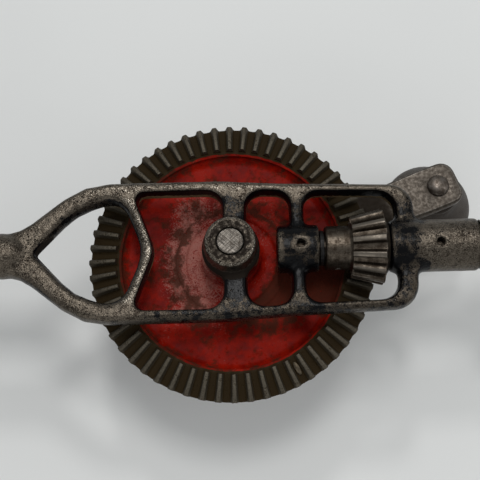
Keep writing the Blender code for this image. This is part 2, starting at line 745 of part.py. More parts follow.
def neck_shape():
    """Neck, collar and tang in one turned shape that runs from the handle into the fork."""
    collar_end = COLLAR_START_X - COLLAR_LENGTH
    neck = NECK_DIAMETER / 2.0
    collar = COLLAR_DIAMETER / 2.0
    tang = TANG_DIAMETER / 2.0
    return turned([
        (TANG_END_X, 0.0), (TANG_END_X, tang - TANG_CHAMFER), (TANG_END_X + TANG_CHAMFER, tang),
        (collar_end, tang), (collar_end, collar - COLLAR_CHAMFER), (collar_end + COLLAR_CHAMFER, collar),
        (COLLAR_START_X - COLLAR_CHAMFER, collar), (COLLAR_START_X, collar - COLLAR_CHAMFER),
        (COLLAR_START_X + EDGE_CHAMFER, neck - 2.0 * NECK_HOLLOW),
        (COLLAR_START_X + NECK_SWELL_LENGTH, neck - NECK_HOLLOW),
        (NECK_CORNER_X - NECK_SWELL_LENGTH, neck),
    ] + quarter(NECK_CORNER_X - NECK_NOSE_START, neck - NECK_HOLLOW, NECK_NOSE_LENGTH,
                neck - NECK_HOLLOW, 5, False))


def boss_shape():
    """The axle's boss, with a flared foot on the frame's face."""
    foot = AXLE_BOSS_FOOT_DIAMETER / 2.0
    side = AXLE_BOSS_DIAMETER / 2.0
    face = FRAME_DEPTH / 2.0
    return upright(turned([
        (-AXLE_BOSS_BACK, 0.0), (-AXLE_BOSS_BACK, side), (-face, side + EDGE_CHAMFER),
        (-face + 2.0 * AXLE_BOSS_CHAMFER, foot), (face - EDGE_CHAMFER, foot),
        (face + AXLE_BOSS_CHAMFER, foot - EDGE_CHAMFER), (face + AXLE_BOSS_FLARE, side + EDGE_CHAMFER / 2.0),
        (AXLE_FACE_RISE - AXLE_BOSS_CHAMFER, side), (AXLE_FACE_RISE, side - AXLE_BOSS_CHAMFER),
        (AXLE_FACE_RISE, 0.0),
    ]))


def build_frame(looks, root):
    """The one-piece casting: neck, fork, rails, webs, axle boss, rear bearing and nose bearing."""
    half_depth = FRAME_DEPTH / 2.0
    outer_edge = rounded_edge(half_depth, FRAME_FLAT_DEPTH, FRAME_OUTER_ROUNDING, 2)
    body = plate(outline(frame_outline()), outer_edge, frame_windows())
    frame = add_piece("frame", body, looks["iron"], root)
    combine(frame, neck_shape(), "UNION")
    combine(frame, boss_shape(), "UNION")
    bearings = joined(rod(BARREL_START_X, BARREL_END_X, BARREL_DIAMETER / 2.0, EDGE_CHAMFER),
                      rod(NOSE_START_X, NOSE_END_X, NOSE_DIAMETER / 2.0, NOSE_CHAMFER))
    combine(frame, bearings, "UNION")
    spindle_bore = rod(SPINDLE_START_X - CUT_OVERRUN, NOSE_END_X + CUT_OVERRUN, SPINDLE_BORE_RADIUS)
    combine(frame, spindle_bore, "DIFFERENCE")
    axle_bore = upright(rod(-AXLE_BOSS_BACK - CUT_OVERRUN, AXLE_FACE_RISE + CUT_OVERRUN, AXLE_BORE_RADIUS))
    combine(frame, axle_bore, "DIFFERENCE")
    drill = upright(rod(0.0, NOSE_DIAMETER, OIL_HOLE_DIAMETER / 2.0, steps=FINE_STEPS))
    barrel_hole = moved(drill, (BARREL_CENTRE_X + BARREL_OIL_HOLE_SHIFT, 0.0, 0.0))
    drill = upright(rod(0.0, NOSE_DIAMETER, OIL_HOLE_DIAMETER / 2.0, steps=FINE_STEPS))
    nose_hole = moved(drill, (NOSE_OIL_HOLE_X, NOSE_OIL_HOLE_Y, 0.0))
    combine(frame, joined(barrel_hole, nose_hole), "DIFFERENCE")
    combine(frame, handle_pin_bore(), "DIFFERENCE")


# Handle

def handle_pin_bore():
    """The hole for the handle's cross pin."""
    bore = rod(-FERRULE_DIAMETER, FERRULE_DIAMETER, HANDLE_PIN_DIAMETER / 2.0 + BORE_GAP, steps=FINE_STEPS)
    return moved(upright(bore), (HANDLE_PIN_X, 0.0, 0.0))


def build_handle(looks, root):
    """Turned handle on the tang, its ferrule and the pin through all three."""
    outside = FERRULE_DIAMETER / 2.0
    inside = outside - FERRULE_WALL
    ferrule = add_piece("handle_ferrule", turned([
        (FERRULE_START_X, TANG_BORE_RADIUS), (FERRULE_START_X, outside - EDGE_CHAMFER),
        (FERRULE_START_X - EDGE_CHAMFER, outside), (FERRULE_END_X, outside), (FERRULE_END_X, inside),
        (FERRULE_START_X - FERRULE_WALL, inside), (FERRULE_START_X - FERRULE_WALL, TANG_BORE_RADIUS),
    ], ring=True), looks["ferrule"], root)
    combine(ferrule, handle_pin_bore(), "DIFFERENCE")

    front = FERRULE_START_X - FERRULE_WALL - SEAT_GAP
    shoulder = FERRULE_END_X - SEAT_GAP
    butt = shoulder - HANDLE_LENGTH + FERRULE_LENGTH
    seat = inside - BORE_GAP
    waist = HANDLE_WAIST_DIAMETER / 2.0
    belly = HANDLE_BELLY_DIAMETER / 2.0
    rear = HANDLE_BUTT_DIAMETER / 2.0
    flat = HANDLE_BUTT_FLAT / 2.0
    span = shoulder - butt
    profile = [(front, 0.0), (front, seat), (shoulder, seat), (shoulder, outside)]
    belly_place = shoulder - HANDLE_BELLY_SHARE * span
    rear_place = shoulder - HANDLE_REAR_SHARE * span
    profile += [(shoulder - HANDLE_LIP, waist)]
    profile += eased(shoulder - HANDLE_WAIST_LENGTH, belly_place, waist, belly, 5)
    profile += eased(belly_place, rear_place, belly, rear, 4)
    for step in range(5):
        turn = pi / 2.0 * step / 4
        profile.append((butt + (rear_place - butt) * (1.0 - sin(turn)), flat + (rear - flat) * cos(turn)))
    profile.append((butt, 0.0))
    handle = add_piece("main_handle", turned(profile), looks["wood"], root)
    combine(handle, rod(TANG_END_X - CUT_OVERRUN, front + CUT_OVERRUN, TANG_BORE_RADIUS), "DIFFERENCE")
    combine(handle, handle_pin_bore(), "DIFFERENCE")

    pin = upright(rod(-outside, outside, HANDLE_PIN_DIAMETER / 2.0, WASHER_CHAMFER, FINE_STEPS))
    add_piece("handle_pin", moved(pin, (HANDLE_PIN_X, 0.0, 0.0)), looks["bright"], root)


# Axle, drive gear and crank

def build_axle(looks, root):
    """The fixed axle, the spacer on it and the screw and washer that keep the gear on."""
    screw_radius = AXLE_SCREW_DIAMETER / 2.0
    tapped = screw_radius + BORE_GAP
    axle = AXLE_DIAMETER / 2.0
    add_piece("gear_axle", upright(turned([
        (-CRANK_BACK + AXLE_SCREW_DEPTH, 0.0), (-CRANK_BACK + AXLE_SCREW_DEPTH, tapped),
        (-CRANK_BACK, tapped), (-CRANK_BACK, axle - EDGE_CHAMFER), (-CRANK_BACK + EDGE_CHAMFER, axle),
        (AXLE_FACE_RISE - AXLE_CHAMFER, axle), (AXLE_FACE_RISE, axle - AXLE_CHAMFER), (AXLE_FACE_RISE, 0.0),
    ])), looks["bright"], root)
    spacer = tube(AXLE_BOSS_BACK + SEAT_GAP, GEAR_HUB_TOP - SEAT_GAP, AXLE_BORE_RADIUS,
                  AXLE_BOSS_DIAMETER / 2.0, WASHER_CHAMFER)
    add_piece("gear_spacer", hanging(spacer), looks["steel"], root)

    washer_front = CRANK_BACK + SEAT_GAP
    washer_back = washer_front + AXLE_WASHER_THICKNESS
    washer = tube(washer_front, washer_back, tapped, AXLE_WASHER_DIAMETER / 2.0, WASHER_CHAMFER)
    add_piece("axle_washer", hanging(washer), looks["steel"], root)
    head = washer_back + SEAT_GAP
    head_radius = AXLE_SCREW_HEAD_DIAMETER / 2.0
    shank_end = CRANK_BACK - AXLE_SCREW_DEPTH + AXLE_SCREW_END_ROOM
    screw = add_piece("axle_screw", hanging(turned([
        (shank_end, 0.0), (shank_end, screw_radius - EDGE_CHAMFER), (shank_end + EDGE_CHAMFER, screw_radius),
        (head, screw_radius), (head, head_radius),
    ] + quarter(head + AXLE_SCREW_RIM, head_radius, AXLE_SCREW_HEAD_HEIGHT - AXLE_SCREW_RIM, head_radius,
                4, False))),
        looks["steel"], root)
    slot = bmesh.new()
    bmesh.ops.create_cube(slot, size=1.0)
    slot_depth = AXLE_SCREW_SLOT_DEPTH * 2.0
    slot_length = 2.0 * (head_radius + CUT_OVERRUN)
    bmesh.ops.scale(slot, verts=slot.verts, vec=(slot_length, AXLE_SCREW_SLOT_WIDTH, slot_depth))
    moved(slot, (0.0, 0.0, -head - AXLE_SCREW_HEAD_HEIGHT))
    combine(screw, slot, "DIFFERENCE")


def gear_body():
    """The drive gear's turned body, from behind the teeth round the back, the bore and the dish."""
    outer = CONE_LENGTH * cos(GEAR_CONE) + TOOTH_DEDENDUM * sin(GEAR_CONE)
    root_radius = GEAR_PITCH_RADIUS - TOOTH_DEDENDUM * cos(GEAR_CONE)
    inner_scale = 1.0 - GEAR_FACE_WIDTH / CONE_LENGTH
    wall = root_radius * inner_scale - GEAR_RIM_WALL
    back_hub = GEAR_BACK_HUB_DIAMETER / 2.0
    hub = GEAR_HUB_DIAMETER / 2.0
    ring = GEAR_RING_DIAMETER / 2.0
    return [
        (outer + EDGE_CHAMFER, root_radius),
        (DISC_BACK - GEAR_RIM_CHAMFER, root_radius - EDGE_CHAMFER),
        (DISC_BACK, root_radius - GEAR_RIM_CHAMFER),
        (DISC_BACK, back_hub + GEAR_FILLET), (DISC_BACK + GEAR_FILLET, back_hub), (GEAR_BACK, back_hub),
        (GEAR_BACK, AXLE_BORE_RADIUS), (GEAR_HUB_TOP, AXLE_BORE_RADIUS), (GEAR_HUB_TOP, hub),
        (GEAR_DISC_DEPTH - GEAR_FILLET, hub), (GEAR_DISC_DEPTH, hub + GEAR_FILLET),
        (GEAR_DISC_DEPTH, ring - GEAR_RING_WIDTH / 2.0 - EDGE_CHAMFER),
        (GEAR_DISC_DEPTH - GEAR_RING_HEIGHT, ring - GEAR_RING_WIDTH / 2.0),
        (GEAR_DISC_DEPTH - GEAR_RING_HEIGHT, ring + GEAR_RING_WIDTH / 2.0),
        (GEAR_DISC_DEPTH, ring + GEAR_RING_WIDTH / 2.0 + EDGE_CHAMFER),
        (GEAR_DISC_DEPTH, wall - GEAR_FILLET), (GEAR_DISC_DEPTH - GEAR_FILLET, wall),
        (outer * inner_scale + GEAR_TOOTH_STEP, wall),
    ]


def screw_places():
    """Where the crank's screws stand about the axle, in the crank's own coordinates."""
    turns = [pi / CRANK_SCREW_COUNT + 2.0 * pi * index / CRANK_SCREW_COUNT
             for index in range(CRANK_SCREW_COUNT)]
    circle = CRANK_SCREW_CIRCLE / 2.0
    return [(circle * cos(turn), circle * sin(turn)) for turn in turns]


def build_gear(looks, root):
    """The drive gear, with blind holes in its back hub for the crank's screws."""
    heights = (-TOOTH_DEDENDUM, TOOTH_ADDENDUM)
    inner_scale = 1.0 - GEAR_FACE_WIDTH / CONE_LENGTH
    shape = gear_shape(GEAR_TEETH, GEAR_PITCH_RADIUS, GEAR_CONE, GEAR_TOOTH_THICKNESS, heights,
                       1.0, inner_scale, gear_body(), coarse=True)
    gear = add_piece("drive_gear", hanging(shape), looks["red"], root)
    radius = CRANK_SCREW_DIAMETER / 2.0 + BORE_GAP
    holes = None
    for x, y in screw_places():
        hole_start = GEAR_BACK - CRANK_SCREW_DEPTH - CUT_OVERRUN
        hole = hanging(rod(hole_start, GEAR_BACK + CUT_OVERRUN, radius, steps=SCREW_STEPS))
        place = Matrix.Rotation(CRANK_ANGLE, 3, "Z") @ Vector((x, y, 0.0))
        moved(hole, place)
        holes = joined(holes, hole) if holes else hole
    combine(gear, holes, "DIFFERENCE")


def crank_outline():
    """The arm: a round hub, a waist and a blunt rounded end past the rivet."""
    hub = CRANK_HUB_DIAMETER / 2.0
    end = CRANK_END_WIDTH / 2.0
    waist = CRANK_WAIST_WIDTH / 2.0
    end_x = CRANK_RADIUS + CRANK_END_REACH
    return mirrored([
        (end_x, end - CRANK_END_TAPER, CRANK_CORNER_RADIUS),
        (CRANK_RADIUS - CRANK_END_TAPER_LENGTH, end, CRANK_END_BEND_RADIUS),
        (CRANK_RADIUS * CRANK_WAIST_SHARE, waist, CRANK_WAIST_BEND_RADIUS),
        (hub, hub + SEAT_GAP, CRANK_HUB_BEND_RADIUS),
        (-hub, hub + SEAT_GAP, hub),
    ])


def build_crank(looks, arm):
    """The crank arm, its screws, the rivet and the turning knob."""
    half = CRANK_THICKNESS / 2.0
    middle = -(CRANK_FRONT + CRANK_BACK) / 2.0
    chamfer = CRANK_EDGE_CHAMFER
    edge = [(-half, chamfer), (-half + chamfer, 0.0), (half - chamfer, 0.0), (half, chamfer)]
    straight = [(-half, 0.0), (half, 0.0)]
    screw_bore = CRANK_SCREW_DIAMETER / 2.0 + BORE_GAP
    holes = [(circle(0.0, 0.0, AXLE_BORE_RADIUS, ROUND_STEPS), straight),
             (circle(CRANK_RADIUS, 0.0, RIVET_BORE_RADIUS), straight)]
    holes += [(circle(x, y, screw_bore), straight) for x, y in screw_places()]
    body = moved(plate(outline(crank_outline()), edge, holes), (0.0, 0.0, middle))
    add_piece("crank_arm", body, looks["crank"], arm)

    head = CRANK_SCREW_HEAD_DIAMETER / 2.0
    shank = CRANK_SCREW_DIAMETER / 2.0
    head_start = CRANK_BACK + SEAT_GAP
    head_top = head_start + CRANK_SCREW_HEAD_HEIGHT
    tip = GEAR_BACK - CRANK_SCREW_DEPTH
    for index, (x, y) in enumerate(screw_places()):
        screw = hanging(turned([(tip, 0.0), (tip, shank), (head_start, shank), (head_start, head),
                                (head_start + CRANK_SCREW_RIM, head), (head_top, head * CRANK_SCREW_CROWN_SHARE),
                                (head_top, 0.0)], SCREW_STEPS))
        add_piece("crank_screw_%d" % (index + 1), screw, looks["steel"], arm, (x, y, 0.0))

    pivot = (CRANK_RADIUS, 0.0, 0.0)
    washer_start = CRANK_BACK + SEAT_GAP
    knob_start = washer_start + KNOB_WASHER_THICKNESS + SEAT_GAP
    knob_end = knob_start + KNOB_LENGTH
    washer = tube(washer_start, washer_start + KNOB_WASHER_THICKNESS, RIVET_BORE_RADIUS,
                  KNOB_WASHER_DIAMETER / 2.0, WASHER_CHAMFER, FINE_STEPS)
    add_piece("knob_washer", hanging(washer), looks["steel"], arm, pivot)

    rivet = RIVET_DIAMETER / 2.0
    rivet_head = RIVET_HEAD_DIAMETER / 2.0
    head_foot = CRANK_FRONT - SEAT_GAP
    tail_start = knob_end + SEAT_GAP
    tail = RIVET_TAIL_DIAMETER / 2.0
    profile = quarter(head_foot - RIVET_HEAD_HEIGHT, rivet_head, RIVET_HEAD_HEIGHT, rivet_head, 4, True)
    profile += [(head_foot, rivet), (tail_start, rivet), (tail_start, tail)]
    profile += quarter(tail_start + RIVET_TAIL_RIM, tail, RIVET_TAIL_HEIGHT - RIVET_TAIL_RIM, tail, 3, False)
    add_piece("knob_rivet", hanging(turned(profile, FINE_STEPS)), looks["rivet"], arm, pivot)

    belly_place = knob_start + KNOB_LENGTH * KNOB_BELLY_SHARE
    neck = KNOB_NECK_DIAMETER / 2.0
    belly = KNOB_DIAMETER / 2.0
    end = KNOB_END_DIAMETER / 2.0
    profile = [(knob_start, RIVET_BORE_RADIUS), (knob_start, neck - KNOB_EDGE_CHAMFER)]
    profile += eased(knob_start + KNOB_EDGE_CHAMFER, belly_place, neck, belly, 5)
    profile += quarter(belly_place, belly, knob_end - belly_place, belly - end, 5, False)
    profile += [(knob_end, RIVET_BORE_RADIUS)]
    add_piece("crank_knob", hanging(turned(profile, ring=True)), looks["knob"], arm, pivot)


# Spindle and pinion

def pinion_body():
    """The pinion's turned body, from behind its big end, through the bore, round the hub."""
    root = PINION_PITCH_RADIUS - TOOTH_DEDENDUM * cos(PINION_CONE)
    teeth_start = PINION_ROOT_X * PINION_INNER_SCALE
    hub = PINION_HUB_DIAMETER / 2.0
    return [
        (PINION_BACK_X - PINION_CHAMFER, root - PINION_BACK_DROP),
        (PINION_BACK_X, root - PINION_BACK_DROP - PINION_CHAMFER),
        (PINION_BACK_X, SPINDLE_BORE_RADIUS), (PINION_START_X, SPINDLE_BORE_RADIUS),
        (PINION_START_X, hub - PINION_CHAMFER), (PINION_START_X + PINION_CHAMFER, hub),
        (teeth_start - PINION_HUB_FLARE, hub), (teeth_start - PINION_TOOTH_STEP, hub + PINION_HUB_FLARE),
    ]


def build_spindle(looks, root):
    """The spindle, its thrust washers and the pinned pinion."""
    spindle = SPINDLE_DIAMETER / 2.0
    spindle_end = CHUCK_START_X + CHUCK_SOCKET_DEPTH - SEAT_GAP
    shaft = add_piece("spindle", rod(SPINDLE_START_X, spindle_end, spindle, EDGE_CHAMFER), looks["bright"], root)
    washer = tube(BARREL_END_X + SEAT_GAP, BARREL_END_X + SEAT_GAP + THRUST_WASHER_THICKNESS,
                  SPINDLE_BORE_RADIUS, THRUST_WASHER_DIAMETER / 2.0, WASHER_CHAMFER)
    add_piece("rear_thrust_washer", washer, looks["black"], root)
    washer = tube(NOSE_END_X + SEAT_GAP, NOSE_END_X + SEAT_GAP + NOSE_WASHER_THICKNESS,
                  SPINDLE_BORE_RADIUS, NOSE_WASHER_DIAMETER / 2.0, WASHER_CHAMFER)
    add_piece("nose_thrust_washer", washer, looks["steel"], root)

    heights = (-TOOTH_DEDENDUM, -PINION_FLANK_SHARE * TOOTH_DEDENDUM,
               PINION_FLANK_SHARE * TOOTH_ADDENDUM, TOOTH_ADDENDUM)
    shape = gear_shape(PINION_TEETH, PINION_PITCH_RADIUS, PINION_CONE, PINION_TOOTH_THICKNESS, heights,
                       PINION_OUTER_SCALE, PINION_INNER_SCALE, pinion_body(), coarse=False)
    pinion = add_piece("pinion", shape, looks["pinion"], root)
    hub = PINION_HUB_DIAMETER / 2.0
    pin_place = (PINION_START_X + PINION_PIN_SETBACK, 0.0, 0.0)
    for piece in (pinion, shaft):
        bore = rod(-hub - CUT_OVERRUN, hub + CUT_OVERRUN, PINION_PIN_DIAMETER / 2.0 + BORE_GAP,
                   steps=FINE_STEPS)
        bmesh.ops.rotate(bore, verts=bore.verts, matrix=Matrix.Rotation(pi / 2.0, 3, "Z"))
        combine(piece, moved(bore, pin_place), "DIFFERENCE")
    pin = rod(-hub, hub, PINION_PIN_DIAMETER / 2.0, WASHER_CHAMFER, FINE_STEPS)
    bmesh.ops.rotate(pin, verts=pin.verts, matrix=Matrix.Rotation(pi / 2.0, 3, "Z"))
    add_piece("pinion_pin", moved(pin, pin_place), looks["bright"], root)


# Chuck

def jaw_line_radius(x):
    """How far a jaw's middle line stands from the spindle's axis at x, with the jaws closed."""
    return JAW_TIP_RADIUS + (JAW_TIP_X - x) * tan(JAW_ANGLE)


def along_jaw(shape, turn):
    """Lay a shape made along X, with the jaw's tip at 0, on one jaw's slanted line."""
    bmesh.ops.rotate(shape, verts=shape.verts, matrix=Matrix.Rotation(JAW_ANGLE, 3, "Y"))
    moved(shape, (JAW_TIP_X, 0.0, JAW_TIP_RADIUS))
    bmesh.ops.rotate(shape, verts=shape.verts, matrix=Matrix.Rotation(turn, 3, "X"))
    return shape


def jaw_shape(turn):
    """A slanted round jaw, cut square at its tip and to a wedge between its neighbours.

    It is cut where the closed jaws meet, and then drawn back to where they stand fully open.
    """
    slant = tan(JAW_ANGLE)
    jaw = along_jaw(rod(-JAW_LENGTH, JAW_DIAMETER * slant, JAW_DIAMETER / 2.0, steps=JAW_STEPS), 0.0)
    half = pi / JAW_COUNT
    wedge = [Vector((0.0, -side * cos(half), sin(half))) for side in (1.0, -1.0)]
    cuts = [(Vector((JAW_TIP_X, 0.0, 0.0)), Vector((1.0, 0.0, 0.0)))]
    cuts += [(normal * (SEAT_GAP / 2.0), -normal) for normal in wedge]
    for place, normal in cuts:
        everything = jaw.verts[:] + jaw.edges[:] + jaw.faces[:]
        cut = bmesh.ops.bisect_plane(jaw, geom=everything, dist=1e-7, plane_co=place, plane_no=normal,
                                     clear_outer=True)
        rim = [item for item in cut["geom_cut"] if isinstance(item, bmesh.types.BMEdge)]
        bmesh.ops.edgeloop_fill(jaw, edges=rim)
    opened = Vector((-cos(JAW_ANGLE), 0.0, sin(JAW_ANGLE))) * JAW_TRAVEL
    moved(jaw, opened)
    bmesh.ops.rotate(jaw, verts=jaw.verts, matrix=Matrix.Rotation(turn, 3, "X"))
    return jaw


def build_chuck(looks, root):
    """Chuck body, the sleeve and its nut, and three jaws in slanted bores."""
    body = CHUCK_BODY_DIAMETER / 2.0
    collar = CHUCK_REAR_COLLAR_DIAMETER / 2.0
    nose = CHUCK_NOSE_DIAMETER / 2.0
    nut_start = NUT_END_X - NUT_LENGTH
    flank = JAW_DIAMETER / 2.0 / cos(JAW_ANGLE) + BORE_GAP
    nut_small = jaw_line_radius(NUT_END_X) + flank
    nut_large = jaw_line_radius(nut_start) + flank
    groove = nut_small - BORE_GAP
    hub = CHUCK_HUB_DIAMETER / 2.0
    collar_start = CHUCK_START_X + CHUCK_HUB_LENGTH
    collar_end = CHUCK_START_X + CHUCK_REAR_COLLAR_LENGTH
    nose_start = CHUCK_END_X - CHUCK_NOSE_LENGTH
    chuck = add_piece("chuck_body", turned([
        (CHUCK_START_X + CHUCK_SOCKET_DEPTH, 0.0),
        (CHUCK_START_X + CHUCK_SOCKET_DEPTH, SPINDLE_BORE_RADIUS),
        (CHUCK_START_X, SPINDLE_BORE_RADIUS), (CHUCK_START_X, hub - EDGE_CHAMFER),
        (CHUCK_START_X + EDGE_CHAMFER, hub), (collar_start, hub), (collar_start, collar - CHUCK_EDGE_CHAMFER),
        (collar_start + CHUCK_EDGE_CHAMFER, collar), (collar_end, collar), (collar_end, body),
        (nut_start - SEAT_GAP, body), (nut_start - SEAT_GAP, groove), (NUT_END_X + SEAT_GAP, groove),
        (NUT_END_X + SEAT_GAP, body), (nose_start, body), (CHUCK_END_X, nose), (CHUCK_END_X, 0.0),
    ]), looks["steel"], root)
    turns = [2.0 * pi * index / JAW_COUNT for index in range(JAW_COUNT)]
    mouth = rod(CHUCK_END_X - CHUCK_MOUTH_DEPTH, CHUCK_END_X + CUT_OVERRUN, CHUCK_MOUTH_DIAMETER / 2.0,
                steps=JAW_STEPS)
    combine(chuck, mouth, "DIFFERENCE")
    for turn in turns:
        bore = rod(-JAW_LENGTH - JAW_TRAVEL - JAW_END_ROOM, JAW_DIAMETER, JAW_BORE_RADIUS, steps=JAW_STEPS)
        combine(chuck, along_jaw(bore, turn), "DIFFERENCE")
    for index, turn in enumerate(turns):
        add_piece("jaw_%d" % (index + 1), jaw_shape(turn), looks["bright"], root)
    add_piece("chuck_nut", turned([
        (nut_start, nut_large), (nut_start, body), (NUT_END_X, body), (NUT_END_X, nut_small),
    ], ring=True), looks["black"], root)
    sleeve = SLEEVE_DIAMETER / 2.0
    sleeve_end = SLEEVE_START_X + SLEEVE_LENGTH
    add_piece("chuck_sleeve", turned([
        (SLEEVE_START_X, SLEEVE_BORE_RADIUS), (SLEEVE_START_X, sleeve - SLEEVE_REAR_CHAMFER),
        (SLEEVE_START_X + SLEEVE_REAR_CHAMFER, sleeve), (sleeve_end - SLEEVE_FRONT_CHAMFER, sleeve),
        (sleeve_end, sleeve - SLEEVE_FRONT_CHAMFER), (sleeve_end, SLEEVE_BORE_RADIUS),
    ], ring=True), looks["steel"], root)


def main():
    """Build the whole drill."""
    clear_scene()
    looks = {
        "iron": finish("cast_iron", (0.10, 0.095, 0.09), 0.5, 0.7),
        "red": finish("red_enamel", (0.33, 0.02, 0.015), 0.45, 0.0),
        "bright": finish("bright_steel", (0.42, 0.40, 0.37), 0.35, 1.0),
        "steel": finish("worn_steel", (0.25, 0.235, 0.22), 0.42, 1.0),
        "black": finish("blackened_steel", (0.03, 0.03, 0.032), 0.4, 0.6),
        "pinion": finish("pinion_steel", (0.16, 0.145, 0.13), 0.4, 1.0),
        "crank": finish("crank_steel", (0.2, 0.185, 0.17), 0.45, 0.9),
        "rivet": finish("rivet_steel", (0.19, 0.165, 0.145), 0.42, 0.9),
        "knob": finish("knob_wood", (0.14, 0.11, 0.095), 0.45, 0.0),
        "wood": finish("handle_wood", (0.16, 0.07, 0.03), 0.5, 0.0),
        "ferrule": finish("ferrule_steel", (0.24, 0.225, 0.21), 0.4, 1.0),
    }
    root = empty("crossing", location=(0.0, 0.0, -AXLE_FACE_RISE))
    arm = empty("crank_turn", parent=root, turn=CRANK_ANGLE)
    build_frame(looks, root)
    build_handle(looks, root)
    build_axle(looks, root)
    build_gear(looks, root)
    build_crank(looks, arm)
    build_spindle(looks, root)
    build_chuck(looks, root)
    bpy.context.view_layer.update()


main()
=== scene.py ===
"""Looks of the hand drill: its castings, teeth, steel and wood, and the studio around it.

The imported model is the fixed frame, in metres. The spindle runs along +X, the gear's axle along
+Z, and the origin is the middle of the axle's seen end. Each class makes the visible pieces of one
sub-assembly, dresses them and hangs them on the bodies that carry them.
"""
from __future__ import annotations

import logging
from dataclasses import dataclass
from enum import Enum
from math import acos, atan2, cos, pi, radians, sin, tan
from typing import Callable, Sequence

import bmesh
import bpy
import numpy as np
from mathutils import Matrix, Vector, noise


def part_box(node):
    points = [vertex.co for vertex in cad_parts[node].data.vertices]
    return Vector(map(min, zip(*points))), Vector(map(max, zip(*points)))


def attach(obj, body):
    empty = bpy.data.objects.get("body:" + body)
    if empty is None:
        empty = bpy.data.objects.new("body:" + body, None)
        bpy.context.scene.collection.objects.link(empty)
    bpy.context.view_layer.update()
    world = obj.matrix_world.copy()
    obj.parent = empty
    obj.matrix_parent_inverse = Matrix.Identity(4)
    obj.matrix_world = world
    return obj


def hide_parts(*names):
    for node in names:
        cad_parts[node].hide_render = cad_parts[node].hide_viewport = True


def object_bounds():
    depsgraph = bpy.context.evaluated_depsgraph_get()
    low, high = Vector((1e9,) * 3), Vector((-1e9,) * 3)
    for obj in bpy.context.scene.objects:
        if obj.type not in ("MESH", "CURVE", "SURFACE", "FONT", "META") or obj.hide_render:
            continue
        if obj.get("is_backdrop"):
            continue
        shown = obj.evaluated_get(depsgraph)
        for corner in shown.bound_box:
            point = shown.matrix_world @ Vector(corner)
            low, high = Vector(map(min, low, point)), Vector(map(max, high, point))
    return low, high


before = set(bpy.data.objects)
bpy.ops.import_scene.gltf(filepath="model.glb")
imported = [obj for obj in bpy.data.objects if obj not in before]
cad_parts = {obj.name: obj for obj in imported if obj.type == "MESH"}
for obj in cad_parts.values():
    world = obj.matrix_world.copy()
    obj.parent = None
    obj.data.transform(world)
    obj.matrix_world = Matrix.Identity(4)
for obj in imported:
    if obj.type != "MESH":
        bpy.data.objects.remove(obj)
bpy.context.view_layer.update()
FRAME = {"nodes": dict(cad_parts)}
LOG = logging.getLogger("hand_drill")

ORIGIN = (0.0, 0.0, 0.0)
GAP = 0.0003
WELD = 1e-7
CAD_WELD = 2e-6
NEAR = 1e-6
UPRIGHT = -pi / 2.0
SIDE_SHARE = 0.45

Triple = tuple[float, float, float]
Span = tuple[float, float]
Profile = list[Span]
Shape = bmesh.types.BMesh


class Body(Enum):
    """The moving bodies that pieces ride on."""

    FRAME = "frame"
    GEAR = "drive_gear"
    KNOB = "crank_knob"
    SPINDLE = "spindle"
    SLEEVE = "chuck_sleeve"


class Slot(Enum):
    """The material slots of the record that new pieces take."""

    IRON = "frame_iron"
    RED = "red_enamel"
    WORN = "worn_steel"
    PINION = "pinion_steel"
    CRANK = "crank_steel"
    KNOB = "knob_wood"
    HANDLE = "handle_wood"


class Axis(Enum):
    """The direction that a round piece is turned about."""

    ALONG = 0
    UP = 2


# Node graphs

class Wire:
    """A value in a node tree that adds, multiplies and eases like a number."""

    def __init__(self, graph: Graph, socket: bpy.types.NodeSocket) -> None:
        """Hold the output of one of a graph's nodes."""
        self.graph = graph
        self.socket = socket

    def __add__(self, other: object) -> Wire:
        """Return this value plus another."""
        return self.graph.math("ADD", self, other)

    def __sub__(self, other: object) -> Wire:
        """Return this value less another."""
        return self.graph.math("SUBTRACT", self, other)

    def __rsub__(self, other: object) -> Wire:
        """Return another value less this one."""
        return self.graph.math("SUBTRACT", other, self)

    def __mul__(self, other: object) -> Wire:
        """Return this value times another."""
        return self.graph.math("MULTIPLY", self, other)

    def __truediv__(self, other: object) -> Wire:
        """Return this value over another."""
        return self.graph.math("DIVIDE", self, other)

    def step(self, low: float, high: float) -> Wire:
        """Return 0 where this is below low, 1 above high, and a smooth rise between them."""
        inputs = {"Value": self, "From Min": low, "From Max": high}
        return self.graph.wire("ShaderNodeMapRange", inputs, interpolation_type="SMOOTHSTEP")

    def stray(self, weight: float) -> Wire:
        """Return how far this noise strays from its middle, times a weight."""
        return (self - 0.5) * weight


